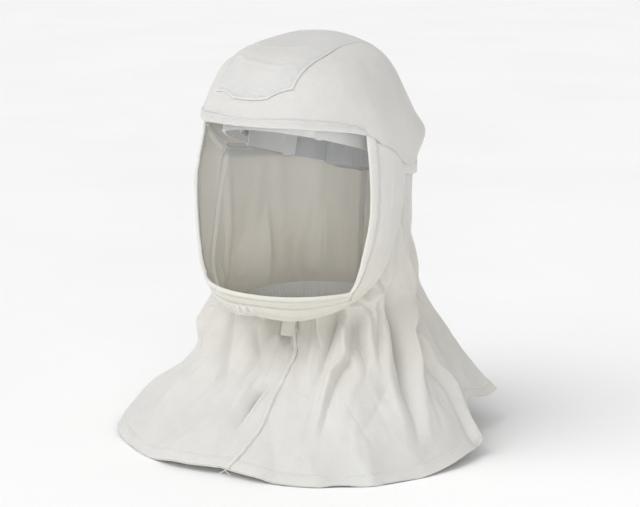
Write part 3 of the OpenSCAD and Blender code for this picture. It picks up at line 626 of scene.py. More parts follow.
def make_crown():
    n, m = 300, 84
    th, t = grid(np.linspace(0, 360, n, endpoint=False), np.linspace(0, 0.997, m) ** 1.12)
    outer = crown_surface(th, t)
    inner = outer - grid_normals(outer, wrap=True) * CLOTH_T
    crown = slab("crown", outer, inner, wrap=True)
    # the open top is closed by one face outside and one inside, in place of the slab's edge
    cap = [i * m + m - 1 for i in range(n)]
    bm = bmesh.new()
    bm.from_mesh(crown.data)
    rims = [f for f in bm.faces if all(v.index % (n * m) % m == m - 1 for v in f.verts)]
    bmesh.ops.delete(bm, geom=rims, context="FACES_ONLY")
    bm.verts.ensure_lookup_table()
    bm.faces.new([bm.verts[i] for i in cap])
    bm.faces.new([bm.verts[i + n * m] for i in reversed(cap)])
    bmesh.ops.recalc_face_normals(bm, faces=bm.faces)
    bm.to_mesh(crown.data)
    bm.free()
    shade(crown.data)
    piece(crown, "hood_fabric", "hood_fabric", "crown_shell")


# ---------------------------------------------------------------- panel over the duct

PANEL_HALF, PANEL_REAR = 40.0, 104.0


def panel_front(x):
    """Where the panel's front edge lies along Y, with its corners cut back."""
    a = np.abs(x)
    return -109.3 + 0.0065 * np.minimum(a, 18) ** 2 + 11.5 * np.maximum(0, a - 18) / (PANEL_HALF - 18)


def make_crown_panel():
    nx, ny = 110, 260
    u = np.linspace(-1, 1, nx)
    front_x = np.where(u < 0, 47.0, 38.5) * u
    rear_x = PANEL_HALF * u
    betas = np.linspace(-6, 184, 420)
    first = crown_ray(front_x[:, None], betas[None, :])[..., 1]
    last = crown_ray(rear_x[:, None], betas[None, :])[..., 1]
    b0 = np.array([np.interp(y, first[i], betas) for i, y in enumerate(panel_front(PANEL_HALF * u))])
    b1 = np.array([np.interp(PANEL_REAR - 0.006 * a * a, last[i], betas) for i, a in enumerate(rear_x)])
    v = np.linspace(0, 1, ny)[None, :]
    beta = b0[:, None] + (b1 - b0)[:, None] * v
    k = smooth(v, 0.0, 0.28)
    x = front_x[:, None] * (1 - k) + 47 * u[:, None] * k
    k = smooth(v, 0.6, 0.9)
    x = x * (1 - k) + rear_x[:, None] * k
    p = crown_ray(x, beta)
    n = grid_normals(p)
    th = np.interp(np.degrees(np.arctan2(np.abs(p[..., 0]), APEX_Y - p[..., 1])), BEARINGS, ANGLES)
    h = np.clip((p[..., 2] - brim_z(th)) / (CROWN_TOP - brim_z(th)), 0, 1)
    t = np.degrees(np.arcsin(h ** (CROWN_N / 2))) / 90
    p = p + n * crown_lift(p, np.sign(p[..., 0]) * th, t)[..., None]
    run = np.concatenate([np.zeros((nx, 1)), np.cumsum(np.linalg.norm(np.diff(p, axis=1), axis=2), 1)], 1)
    side = np.minimum(x - x[:1], x[-1:] - x)
    front, rear = run, run[:, -1:] - run
    edge = np.minimum(np.minimum(side, rear), front)
    sx = u[:, None] + 0 * v
    lift = 0.5 + 0.7 * smooth(edge, 0, 3) + 0.9 * smooth(edge, 4, 26)
    lift += 0.7 * bump(edge, 1.3, 0.8) - 0.45 * bump(edge, 3.6, 1.0)
    arc = run - 6 * (1 - sx * sx)
    for at, deep, wide, lean in [(34, 0.5, 1.8, 7), (40, -0.4, 3, 7), (70, 0.6, 2.2, -8), (75, -0.4, 4, -8),
                                 (112, 0.5, 3, -4), (150, 0.5, 6, 5), (190, 0.6, 5, -3)]:
        lift += deep * bump(arc + lean * sx, at, wide) * smooth(side, 0, 12)
    lift += 0.12 * ripple(p, 30, 11) * smooth(edge, 2, 12)
    lift += 0.18 * ripple(p, 7, 12) * bump(edge, 5.5, 3.5)
    lift *= 1 - 0.8 * smooth(v, 0.3, 0.42)
    top = p + n * lift[..., None]
    base = p + n * np.minimum(lift - 0.9, -0.6 + 1.4 * smooth(edge, 0, 5))[..., None]
    panel = slab("crown_panel_visual", top, base)
    rows = []
    for off in (3.2,):
        i0 = int(np.argmin(np.abs(u * 42 + 42 - off)))
        j0 = int(np.argmin(np.abs(run[nx // 2] - off)))
        j1 = ny - 1 - j0
        raised = top + n * 0.12
        rows.append(np.concatenate([raised[i0, j1:j0:-1], raised[i0:nx - 1 - i0, j0],
                                    raised[nx - 1 - i0, j0:j1]]))
    thread = sew("crown_panel_stitches", rows, 3.4, 2.4, 0.2, slot="hood_fabric")
    piece(panel, "hood_fabric", "hood_fabric", "crown_panel")


# ---------------------------------------------------------------- brow hem, visor and its strip

def make_brim_hem():
    """Stitched band along the crown's front edge, with a rolled lower edge."""
    n, m = 300, 26
    th, v = grid(np.linspace(-VISOR_HALF - 2, VISOR_HALF + 2, n), np.linspace(0, 1, m))
    z = brim_z(th) - 1.4 + 9.6 * v
    base, out = wall_face(th, z, far_side(th, z))
    pucker = 0.16 * ripple(base * [1, 1, 0.3], 8, 21)
    lift = 0.35 + 1.5 * smooth(v, 0.0, 0.13) * (1 - 0.95 * smooth(v, 0.62, 1.0))
    lift += pucker * smooth(v, 0.1, 0.4) - 0.3 * bump(v, 0.62, 0.06)
    ends = smooth(VISOR_HALF + 2 - np.abs(th), 0, 3)
    outer = base + out * (lift * (0.5 + 0.5 * ends))[..., None]
    inner = base + out * (lift * (0.5 + 0.5 * ends) - 1.1)[..., None]
    hem = slab("brim_hem_visual", outer, inner)
    row = outer[3:-3, int(0.62 * m)] + out[3:-3, 0] * 0.16
    thread = sew("brim_stitches", [row], 3.0, 2.1, 0.2, slot="trim_fabric")
    piece(hem, "hood_fabric", "trim_fabric", "brim_hem")


OPENING = [(VISOR_BOTTOM - 6, 53), (VISOR_BOTTOM, 56), (-120, 59), (-95, 62), (-60, VISOR_HALF - 1),
           (0, VISOR_HALF), (60, VISOR_HALF)]


def make_visor():
    n, m = 160, 110
    u, t = grid(np.linspace(-1, 1, n), np.linspace(0, 1, m))
    z = VISOR_BOTTOM - 5 + (brim_z(u * VISOR_HALF) + 14 - VISOR_BOTTOM + 5) * t
    th = u * (curve(z, OPENING) + 3)
    inset = 2.6 + far_side(th, z)
    film = slab("visor_visual", wall_pt(th, z, inset), wall_pt(th, z, inset + 0.7))
    piece(film, "visor_film", "visor_film", "visor")


def make_top_strip():
    n, m = 200, 16
    th, v = grid(np.linspace(-62, 62, n), np.linspace(0, 1, m))
    z = brim_z(th) + 3 + 9 * v
    weave = 0.12 * np.sin(th * 9) * np.sin(v * 30)
    swell = 0.5 * sin(180 * v)
    inset = far_side(th, z)
    outer = wall_pt(th, z, inset + 3.7)
    inner = wall_pt(th, z, inset + 4.6 + swell + weave)
    strip = slab("top_strip_visual", outer, inner)
    piece(strip, "trim_fabric", "trim_fabric", "visor_top_strip")


# ---------------------------------------------------------------- binding, cheek and chin panels

CHIN_S, SIDE_TOP, BIND_W, PUFF = 0.36, 13, 0.19, 2.5
BORDER_END = 1.045  # the border runs on behind the crown's edge, which is at 1
CHIN_END, CHEEK_START = 0.378, 0.372  # the chin panel laps over the cheek panels
EDGE = [(0, 0, -161), (0.18, 27, -163), (0.36, 57, -153), (0.46, 70, -137), (0.58, 81, -112),
        (0.72, 88, -82), (0.86, 92, -50), (1, 95, -24)]


def rim(s):
    a = np.abs(s)
    z = VISOR_BOTTOM + (SIDE_TOP - VISOR_BOTTOM) * (a - CHIN_S) / (1 - CHIN_S)
    z = z + 0 * s
    low = a < CHIN_S
    th = np.where(low, s / CHIN_S * 56, np.sign(s) * curve(z, OPENING))
    return th, np.where(low, VISOR_BOTTOM - 3 * cos(90 * a / CHIN_S), z)


def border_pt(s, w, inset):
    """Point on the border of the visor opening, s along it and w outwards from the opening."""
    s, w = np.broadcast_arrays(np.asarray(s, float), np.asarray(w, float))
    th, z = rim(s)
    th2 = np.sign(s) * curve(np.abs(s), EDGE, 1)
    z2 = curve(np.abs(s), EDGE, 2) + 250 * np.maximum(0, np.abs(s) - 1)
    th, z = th + (th2 - th) * w, z + (z2 - z) * w
    z = z + 4 * np.minimum(1, np.abs(s)) ** 8 * sin(180 * w)
    return wall_pt(th, z, inset - PUFF * sin(180 * w) + far_side(th, z))


def make_binding():
    """The soft stuffed roll round the opening's sides and bottom."""
    n, m = 520, 28
    s, a = grid(np.linspace(-BORDER_END, BORDER_END, n), np.linspace(0, 360, m, endpoint=False))
    w = BIND_W / 2 * (1 - np.sign(cos(a)) * np.abs(cos(a)) ** 0.8) + 0.004
    base = border_pt(s, w, 0)
    tuck = 0.10 * ripple(np.stack([s * 600, 0 * s, 0 * s], -1), 11, 31)
    up = np.where(sin(a) > 0, 1.7 + tuck, 1.9) * np.abs(sin(a)) ** 0.75 * np.sign(sin(a))
    mid = unit(border_pt(s, w, -1.0) - base)
    up = up + 0.12 * ripple(base, 17, 32)
    tucked = 2.2 * smooth(np.abs(s), 1.005, 1.03)
    p = base + mid * (up + 0.2 - tucked)[..., None]
    roll = add_mesh("binding_visual", p, ring_faces(n, m))
    fix_normals(roll)
    row = border_pt(np.linspace(-0.985, 0.985, 900), BIND_W + 0.012, -0.75)
    sew("binding_stitches", [row], 3.2, 2.2, 0.2, slot="trim_fabric")
    piece(roll, "trim_fabric", "trim_fabric", "visor_binding")


def fix_normals(obj):
    bm = bmesh.new()
    bm.from_mesh(obj.data)
    bmesh.ops.recalc_face_normals(bm, faces=bm.faces)
    bm.to_mesh(obj.data)
    bm.free()


def border_cloth(s, v):
    """The panels' plain face between the binding, v = 0, and the shroud, v = 1, and its normals."""
    w = BIND_W - 0.02
    base = border_pt(s, w + (1 - w) * v, 0)
    nrm = grid_normals(base)
    return base, nrm * np.sign((nrm[..., :2] * base[..., :2]).sum(-1, keepdims=True))


def make_cheek(side):
    """Side panel between the binding and the shroud, that runs up behind the crown's edge."""
    n, m = 220, 64
    s, v = grid(np.linspace(CHEEK_START, BORDER_END, n), np.linspace(0, 1, m))
    base, nrm = border_cloth(s * side, v)
    lift = -1.7 * bump(v, 0.05, 0.07) + 1.6 * bump(v, 0.45, 0.3) - 0.5 * bump(v, 1, 0.05)
    lift += 0.5 * ripple(base, 60, 41 + side) * sin(180 * v)
    lift += 0.9 * bump(v - 0.5 * (s - 0.8), 0.42, 0.05) * smooth(s, 0.66, 0.8) * (1 - smooth(s, 0.9, 0.97))
    lift += 0.8 * bump(v - 0.4 * (0.6 - s), 0.55, 0.06) * smooth(s, 0.42, 0.5) * (1 - smooth(s, 0.62, 0.75))
    lift += 0.12 * ripple(base * [1, 1, 0.5], 13, 43) * bump(v, 0.08, 0.1)
    lift -= 2.0 * smooth(s, 0.995, 1.02)
    if side < 0:
        lift += 4.5 * bump(base[..., 2], -50, 32) * np.clip(sin(180 * v), 0, 1) ** 0.7
    outer = base + nrm * lift[..., None]
    inner = outer - nrm * CLOTH_T
    name = "left" if side > 0 else "right"
    panel = slab(f"cheek_{name}_visual", outer, inner)
    row = outer[8:-4, m - 4] + nrm[8:-4, m - 4] * 0.15
    thread = sew(f"cheek_{name}_stitches", [row], 3.4, 2.4, 0.2, slot="hood_fabric")
    piece(panel, "hood_fabric", "hood_fabric", f"cheek_panel_{name}")


def make_chin():
    """Chin panel: a gathered band that ends in a rolled edge."""
    n, m = 420, 56
    s, v = grid(np.linspace(-CHIN_END, CHIN_END, n), np.linspace(0, 1, m))
    base, nrm = border_cloth(s, v)
    ends = smooth(CHIN_END - np.abs(s), 0.0, 0.03)
    lift = 0.9 * bump(v, 0.12, 0.22) - 1.4 * bump(v, 0.42, 0.05) + 1.1 * bump(v, 0.7, 0.24)
    lift += 0.6 * bump(v, 0.95, 0.05) - 0.5
    lean = s * 470 - 20 * v
    near = 0.04 + 0.96 * bump(s, -0.055, 0.055)
    gather = np.abs(np.sin(lean * 0.22 + 0.6 * np.sin(lean * 0.09))) ** 0.7
    lift += 5.4 * (gather - 0.6) * near * bump(v, 0.7, 0.2) * ends
    lift += 0.12 * ripple(base, 14, 51) * smooth(v, 0.1, 0.4)
    outer = base + nrm * lift[..., None]
    inner = outer - nrm * CLOTH_T
    panel = slab("chin_visual", outer, inner)
    row = outer[6:-6, int(0.42 * m)] + nrm[6:-6, 0] * 0.15
    thread = sew("chin_stitches", [row], 3.2, 2.2, 0.2, slot="hood_fabric")
    piece(panel, "hood_fabric", "hood_fabric", "chin_panel")


TAB_PLACE, TAB_TURN, TAB_TILT = np.array([2, -60, -188]), 12, -28


def make_chin_tab():
    """The small tab that hangs below the chin, with a stitched box."""
    n, m = 30, 40
    u, v = grid(np.linspace(-1, 1, n), np.linspace(0, 1, m))
    x, up = 7 + 6.9 * u, 18 * v
    curl = 1.2 * (1 - v) ** 2 + 0.35 * u * u + 0.25 * np.sin(3 * v + 2 * u)

    def place(depth):
        y0 = curl + depth
        y = y0 * cos(TAB_TILT) - up * sin(TAB_TILT)
        z = y0 * sin(TAB_TILT) + up * cos(TAB_TILT)
        local = [x * cos(TAB_TURN) - y * sin(TAB_TURN), x * sin(TAB_TURN) + y * cos(TAB_TURN), z]
        return TAB_PLACE + np.stack(local, -1)

    tab = slab("chin_tab_visual", place(-0.2 - 0.3 * smooth(1 - np.abs(u), 0, 0.2)), place(1.0))
    piece(tab, "trim_fabric", "trim_fabric", "chin_tab")
    inset = place(-0.62)
    loop = np.concatenate([inset[4:-4, 5], inset[-5, 5:-5], inset[-5:4:-1, -6], inset[4, -6:4:-1]])
    thread = sew("chin_tab_stitches", [loop], 2.6, 1.9, 0.18, slot="trim_fabric")


# ---------------------------------------------------------------- shroud

NECK = [(0, 30, -168), (25, 46, -166), (50, 76, -160), (75, 95, -152), (100, 99, -150),
        (140, 101, -150), (180, 103, -150)]
HEM = [(0, -18, HEM_FRONT), (30, -4, HEM_FRONT - 8), (60, 4, HEM_FRONT - 7), (90, 1, HEM_FRONT + 3),
       (120, 0, HEM_BACK - 15), (150, 3, HEM_BACK - 4), (180, -6, HEM_BACK)]
EDGE_LINE = [(a, z) for s, a, z in EDGE]
NECK_T = 0.35
# The wearer's left hem kinks up and in where two folds meet: signed angle, inwards, up
KINK = [(-180, 0, 0), (84, 0, 0), (93, 1, 0), (101, 17, 13), (110, 24, 19), (118, 12, 10), (127, 0, 0),
        (140, 0, 0), (180, 0, 0)]
# The front seam's angle at each t
SEAM = [(0, 2), (0.2, 9), (0.36, 14), (0.43, 16), (0.515, 18), (0.59, 15), (0.695, 10.5), (0.8, 9),
        (0.9, 6), (1, 3)]


def shroud_base(th, t, out=1.4):
    th, t = np.broadcast_arrays(np.asarray(th, float), np.asarray(t, float))
    a = turn(th)
    behind = smooth(a, 90, 100)
    sewn = (curve(a, EDGE_LINE) + 2) * (1 - behind) + (brim_z(th) + 5) * behind
    r0, z0 = curve(a, NECK, 1) + out, curve(a, NECK, 2)
    r1, z1 = HEM_R + curve(a, HEM, 1) + out, curve(a, HEM, 2)
    top = wall_pt(th, sewn, 6.4 - out)

    def polar(r, z):
        return np.stack([r * sin(th), -r * cos(th), z + 0 * r], -1)

    k = np.clip(t / NECK_T, 0, 1)[..., None]
    upper = top + (polar(r0, z0) - top) * k
    u = np.clip((t - NECK_T) / (1 - NECK_T), 0, 1)
    low = smooth(t, 0.72, 1.0)
    r = r0 + (r1 - r0) * u**1.15 - curve(th, KINK, 1) * low
    z = z0 + (z1 - z0) * u**0.95 + curve(th, KINK, 2) * low
    return np.where((t < NECK_T)[..., None], upper, polar(r, z))


# Folds: path as (angle, t), height over the cloth in mm, half width at start and end in mm, and kind,
# which for left and right sets the side where the cloth falls sharply. A valley has a negative height.
FOLDS = [
    ([(88, 0.20), (87, 0.31), (80, 0.49), (75, 0.61), (73, 0.67), (70, 0.82), (66, 0.92)],
     -18, 9, 5, "valley"),
    ([(108, 0.22), (98, 0.41), (87, 0.50), (84, 0.60), (80, 0.70), (78, 0.90)], 8, 9, 7, "left"),
    ([(60, 0.12), (56, 0.20), (40, 0.48), (29, 0.68)], -12, 8, 4, "valley"),
    ([(62, 0.34), (57, 0.43), (52, 0.52), (44, 0.59), (38, 0.70), (33, 0.85)], -9, 7, 6, "right"),
    ([(62, 0.28), (60, 0.36), (58, 0.45), (59, 0.55), (55, 0.63)], -9.5, 6, 4, "valley"),
    ([(76, 0.22), (74, 0.38), (68, 0.50), (64, 0.58)], -10, 6, 4, "valley"),
    ([(70, 0.60), (58, 0.72), (44, 0.85)], -3.5, 12, 14, "valley"),
    ([(96, 0.45), (94, 0.61), (97, 0.75), (95, 0.87), (92, 0.97)], 7, 13, 9, "right"),
    ([(-52, 0.22), (-48, 0.38), (-34, 0.55), (-20, 0.72)], -8, 13, 10, "valley"),
    ([(2, 0.64), (1, 0.69), (-2, 0.79), (-2, 0.87)], -9, 5.5, 4, "left"),
    ([(-24, 0.55), (-28, 0.63), (-36, 0.83)], -4, 8, 10, "valley"),
    ([(-50, 0.66), (-48, 0.75), (-46, 0.88)], 4, 8, 9, "ridge"),
    ([(-26, 0.40), (-24, 0.46), (-10, 0.56), (-4, 0.62)], -4.5, 9, 7, "valley"),
    ([(4, 0.40), (5, 0.455), (18, 0.50), (22, 0.53)], -3.5, 4, 4, "valley"),
    ([(34, 0.26), (35, 0.37), (35, 0.44), (38, 0.50)], -5, 6, 3.5, "left"),
    ([(-66, 0.30), (-60, 0.55), (-66, 0.80)], -6, 13, 16, "valley"),
    ([(-14, 0.62), (-16, 0.78), (-22, 0.95)], 4, 14, 16, "ridge"),
    ([(8, 0.72), (16, 0.86), (20, 0.98)], -2.5, 12, 16, "valley"),
    ([(50, 0.70), (46, 0.84), (48, 0.98)], 3.5, 16, 20, "ridge"),
    ([(99, 0.01), (99, 0.12), (101, 0.26), (100, 0.38)], -6, 3.5, 4, "valley"),
    ([(107, 0.01), (107, 0.18), (104, 0.34)], -5.5, 3.5, 4, "valley"),
    ([(91, 0.04), (96, 0.16), (103, 0.30), (106, 0.44)], 5, 3.5, 6, "ridge"),
    ([(83, 0.03), (80, 0.16), (82, 0.33)], -5.5, 4, 5, "valley"),
    ([(72, 0.02), (71, 0.12), (66, 0.24)], -5, 4, 5, "valley"),
    ([(121, 0.16), (118, 0.42), (112, 0.66), (110, 0.92)], -11, 10, 13, "valley"),
    ([(134, 0.20), (133, 0.50), (128, 0.80), (127, 1.0)], 7, 12, 15, "ridge"),
    ([(148, 0.14), (150, 0.45), (146, 0.75), (143, 1.0)], -9, 10, 17, "valley"),
    ([(163, 0.30), (166, 0.60), (163, 0.95)], 6, 12, 18, "ridge"),
    ([(-84, 0.16), (-86, 0.45), (-82, 0.75), (-84, 1.0)], -8, 9, 16, "valley"),
    ([(-104, 0.20), (-102, 0.50), (-106, 0.95)], 7, 12, 18, "ridge"),
    ([(-122, 0.14), (-124, 0.42), (-122, 0.72), (-126, 1.0)], -10, 10, 16, "valley"),
    ([(-142, 0.25), (-140, 0.55), (-143, 0.95)], 6, 12, 17, "ridge"),
    ([(-158, 0.14), (-160, 0.45), (-157, 0.75), (-160, 1.0)], -9, 10, 17, "valley"),
]
# Short gathers where the shroud is drawn in at the neck
GATHERS = [-172, -150, -135, -113, -96, -76, -58, -42, -18, 44, 52, 67, 82, 93, 100, 107, 126, 140, 156, 171]


def near_path(p, n, path):
    """Distance to a path, the share of its length at the nearest point, and the side."""
    best = np.full(p.shape[:-1], 1e9)
    share, side = np.zeros_like(best), np.zeros_like(best)
    lengths = np.linalg.norm(np.diff(path, axis=0), axis=1)
    done = np.concatenate([[0], np.cumsum(lengths)]) / lengths.sum()
    for k in range(len(path) - 1):
        a, d = path[k], path[k + 1] - path[k]
        f = np.clip(((p - a) @ d) / (d @ d), 0, 1)
        gap = p - (a + f[..., None] * d)
        dist = np.linalg.norm(gap, axis=-1)
        better = dist < best
        best = np.where(better, dist, best)
        share = np.where(better, done[k] + f * (done[k + 1] - done[k]), share)
        side = np.where(better, np.sign((np.cross(n, d / np.linalg.norm(d)) * gap).sum(-1)), side)
    return best, share, side


def soft_path(rows, samples=24):
    """A smooth path on the shroud through (angle, t) rows."""
    k = np.arange(len(rows))
    at = np.linspace(0, len(rows) - 1, samples)
    th = curve(at, [(i, a) for i, (a, t) in zip(k, rows)])
    t = curve(at, [(i, t) for i, (a, t) in zip(k, rows)])
    return shroud_form(th, t)


def shroud_form(th, t):
    """The plain shroud with the sharp turn at its neck line rounded off."""
    reach = 0.055 * bump(t, NECK_T, 0.11)
    steps = np.linspace(-1, 1, 23)
    weight = 1 - steps**2 + 0.05
    return sum(w * shroud_base(th, t + k * reach) for k, w in zip(steps, weight)) / weight.sum()


def fold_height(p, n):
    """Creased folds: each is sharp along its path, and dies away towards its ends."""
    total = np.zeros(p.shape[:-1])
    for rows, high, w0, w1, kind in FOLDS:
        d, s, side = near_path(p, n, soft_path(rows))
        w = w0 + (w1 - w0) * s
        fade = smooth(s, 0.0, 0.25)
        if rows[-1][1] < 0.93:
            fade = fade * (1 - smooth(s, 0.35, 1.0)) ** 0.8
        fade = fade * (1 - smooth(d, 2.6 * w, 4.2 * w))
        if kind in ("left", "right"):
            steep = side * (1 if kind == "left" else -1)
            w = np.where(steep > 0, 0.42 * w, 1.7 * w)
        e = 2.5 if kind == "ridge" else 1.1
        core = np.exp(-(np.sqrt(d * d + e * e) - e) / (0.75 * w))
        lip = 0.3 * np.exp(-(((d - 2.3 * w) / w) ** 2)) if kind != "ridge" else 0
        total += high * (core - lip) * fade
    return total


def crease_height(a, t):
    """Faint creases that radiate from the neck: a folded noise field, and short single creases."""
    flat = np.stack([a * 1.9, t * 95 + 0 * a, 0 * (a + t)], -1)
    total = 0.9 * (0.8 - np.abs(ripple(flat, 48, 64))) * smooth(t, 0.25, 0.5)
    total += 0.45 * (0.8 - np.abs(ripple(flat * [1, 0.8, 1], 21, 65))) * (1 - 0.7 * smooth(t, 0.45, 0.8))
    rng = np.random.default_rng(66)
    for _ in range(70):
        a0, t0 = rng.uniform(-178, 178), rng.uniform(0.3, 0.8)
        slope, length = rng.uniform(-40, 40), rng.uniform(0.06, 0.16)
        high, wide = rng.uniform(-1.5, 0.7), rng.uniform(1.6, 3.4)
        off = np.abs(a - a0 - slope * (t - t0))
        total += high * np.exp(-off / wide) * np.exp(-(((t - t0) / length) ** 2))
    return total


def shroud_surface(th, t):
    p = shroud_form(th, t)
    n = grid_normals(p)
    lift = fold_height(p, n)
    a = signed(th)
    reach = np.clip((t - NECK_T) / (1 - NECK_T), 0, 1)
    neck = bump(t, 0.24, 0.2) * smooth(t, 0.0, 0.05) * (1 - 0.75 * bump(a, -72, 34))
    for i, g in enumerate(GATHERS):
        lean = 9 * np.sin(i * 2.4) * (t - 0.3)
        lift -= (3.2 + 1.2 * np.sin(i * 1.7)) * bump(a, g + lean * 3, 3.4 + 1.2 * np.sin(i)) * neck
    lift += 2.2 * ripple(p * [1, 1, 0.55], 120, 61) * reach
    lift += 0.55 * ripple(p * [1, 1, 0.7], 38, 62) * smooth(t, 0.08, 0.3)
    lift += 0.22 * ripple(p, 15, 63) * smooth(t, 0.1, 0.3) * (1 - 0.6 * reach)
    lift -= 4.0 * bump(t, 0.11, 0.09) * smooth(a, 48, 66) * (1 - smooth(a, 100, 112))
    lift += crease_height(a, t) * smooth(t, 0.1, 0.3)
    lift += 1.2 * bump(t, 0.28, 0.06)
    lift -= 15 * smooth(t, 0.51, 0.6) * (1 - smooth(t, 0.62, 0.88)) * bump(a, -76, 28)
    lift = np.clip(lift, -24, 12) * smooth(t, 0.01, 0.06) + 3.6 * (1 - smooth(t, 0.006, 0.04))
    return p + n * lift[..., None]


def make_shroud():
    nt, nh = 230, 330
    t = np.concatenate([np.linspace(0, 0.96, nt - 8), np.linspace(0.964, 1.0, 8)])
    seam = curve(t, SEAM)
    u = np.linspace(0, 1, nh)[:, None]
    gap = 0.35
    th_left = (seam + gap) + (180 - 0.5 - seam - gap) * u
    th_right = (seam - gap) - (180 - 0.5 + seam - gap) * u
    whole_th = np.concatenate([th_right[::-1], th_left])
    whole_t = np.broadcast_to(t, whole_th.shape)
    p = shroud_surface(whole_th, whole_t)
    n = grid_normals(p)
    hem = smooth(whole_t, 0.955, 0.96) * 0.5
    outer = p + n * (0.35 * hem)[..., None] - n * (0.35 * bump(whole_t, 0.955, 0.004))[..., None]
    inner = p - n * (1.0 + 0.5 * hem)[..., None]
    for face in (outer, inner):  # where the hem reaches the floor, it rests on it
        face[..., 2] = np.maximum(face[..., 2], FLOOR_Z + 0.6)
    mid = slice(nh - 1, nh + 1)
    front = make_seam("front_seam", p[mid].mean(0), n[mid].mean(0), p[nh] - p[nh - 1], 2.4)
    back = make_seam("back_seam", (p[0] + p[-1]) / 2, n[0], p[0] - p[-1], 2.6)
    for name, part, seams in (("right", slice(0, nh), back), ("left", slice(nh, 2 * nh), front)):
        cloth = slab(f"shroud_{name}_visual", outer[part], inner[part])
        j = int(np.argmin(np.abs(t - 0.966)))
        row = (outer + n * 0.12)[part][2:-2, j]
        thread = sew(f"shroud_{name}_stitches", [row], 3.6, 2.5, 0.2, slot="hood_fabric")
        piece(cloth, "hood_fabric", "hood_fabric", f"shroud_{name}")


def make_seam(node, path, nrm, across, half):
    """A felled seam: a narrow puckered strip with a cord-like ridge and two stitch rows."""
    across, nrm = unit(across), unit(nrm)
    m = 21
    v = np.linspace(-1, 1, m)[None, :]
    k = np.linspace(0, 1, len(path))
    fine = np.linspace(0, 1, 700)
    path, across, nrm = (sample(fine, k, rows) for rows in (path, across, nrm))
    run = np.concatenate([[0], np.cumsum(np.linalg.norm(np.diff(path, axis=0), axis=1))])[:, None]
    wave = 0.5 * np.sin(run * 0.21) + 0.3 * np.sin(run * 0.53 + 1)
    lift = 0.25 + 1.3 * np.abs(1 - v * v) ** 0.6 * (1 + 0.12 * np.sin(run * 0.8 + 2 * v))
    lift = lift + 0.9 * bump(v, 0.12, 0.35)
    width = half * (1 + 0.08 * np.sin(run * 0.9))
    p = path[:, None] + across[:, None] * (v * width + 0.6 * wave)[..., None]
    outer = p + nrm[:, None] * lift[..., None]
    inner = p - nrm[:, None] * (1.3 + 0 * lift)[..., None]
    strip = slab(f"{node}_visual", outer, inner)
    raised = outer + nrm[:, None] * 0.1
    rows = [raised[6:-6, 4], raised[6:-6, m - 5]]
    thread = sew(f"{node}_stitches", rows, 3.0, 2.1, 0.2, slot="trim_fabric")
    piece(strip, "trim_fabric", "trim_fabric", node)
    pieces = [strip, thread]
    if node == "front_seam":
        end = outer[-1, m // 2]
        s = np.linspace(0, 1, 30)[:, None]
        for k, (dx, dz, curl) in enumerate([(-5, -6, 2.0), (4, -7, -1.6)]):
            line = end + np.array([dx, -1.5, dz]) * s + np.array([1, 0, 0.3]) * curl * np.sin(s * 5)
            pieces.append(piece(tube(f"thread_tail_{k}", line, 0.28, 8), "thread", "trim_fabric"))
    return pieces


def make_nape_elastic():
    """Gathered casing over the elastic under the crown's rear edge."""
    n, m = 620, 22
    th, v = grid(np.linspace(93, 267, n), np.linspace(0, 1, m))
    z = brim_z(th) - 9 + 9.5 * v
    base, out = wall_face(th, z)
    gather = np.sin(th * 3.1 + 1.5 * np.sin(th * 0.7) + 0.8 * np.sin(v * 6))
    lift = -4.2 + 1.0 * sin(180 * v) ** 0.7 + 0.7 * gather * sin(180 * v) + 0.15 * ripple(base, 9, 71)
    outer = base + out * lift[..., None]
    casing = slab("nape_elastic_visual", outer, base - out * 1.5)
    rows = [(outer + out * 0.1)[4:-4, k] for k in (6, 15)]
    thread = sew("nape_elastic_stitches", rows, 3.0, 2.0, 0.2, slot="trim_fabric")
    piece(casing, "trim_fabric", "trim_fabric", "nape_elastic")


CUFF_T = 0.905  # where the collar's knit meets its elastic cuff
COLLAR = [(0, 27, -182), (45, 44, -176), (90, 76, -168), (180, 84, -164)]


def collar_pt(th, t, inset):
    a = turn(th)
    top = curve(a, COLLAR, 1) - inset
    low = 58 - inset
    p = np.stack([top * sin(th), -top * cos(th), curve(a, COLLAR, 2)], -1)
    q = np.stack([low * sin(th), 6 - low * cos(th), -222 + 0 * low], -1)
    return p + (q - p) * t[..., None]


def make_collar():
    n, m = 480, 70
    th, t = grid(np.linspace(0, 360, n, endpoint=False), np.linspace(0, CUFF_T, m))
    base = collar_pt(th, t, 0.0 * th)
    nrm = grid_normals(base, wrap=True)
    ribs = 0.35 * np.sin(th * 60 * np.pi / 180 * 2)
    gather = np.sin(th * 24 * np.pi / 180 + 1.2 * np.sin(th * 5 * np.pi / 180))
    lift = 0.2 + ribs * smooth(t, 0.03, 0.1) + 1.1 * gather * smooth(t, 0.35, 0.9)
    lift += 0.5 * ripple(base, 40, 81) * sin(180 * t / CUFF_T)
    outer = base + nrm * lift[..., None]
    collar = slab("collar_visual", outer, outer - nrm * 1.1, wrap=True)
    piece(collar, "collar_knit", "collar_knit", "inner_collar")
    m = 30
    a = np.linspace(0, 360, m, endpoint=False)[None, :]
    th = np.linspace(0, 360, n, endpoint=False)[:, None]
    th, a = np.broadcast_arrays(th, a)
    tt = 0.955 + 0.046 * np.sign(cos(a)) * np.abs(cos(a)) ** 0.7
    puff = 1.6 * np.sign(sin(a)) * np.abs(sin(a)) ** 0.8
    ruffle = 0.45 * np.sin(th * 34 * np.pi / 180 + np.sin(th * 3 * np.pi / 180))
    p = collar_pt(th, tt, 0.7 - puff * (1 + 0.15 * ruffle) - ruffle)
    cuff = add_mesh("collar_elastic_visual", p, ring_faces(n, m, closed=True))
    fix_normals(cuff)
    piece(cuff, "collar_knit", "collar_knit", "collar_elastic")


# ---------------------------------------------------------------- pads of the harness

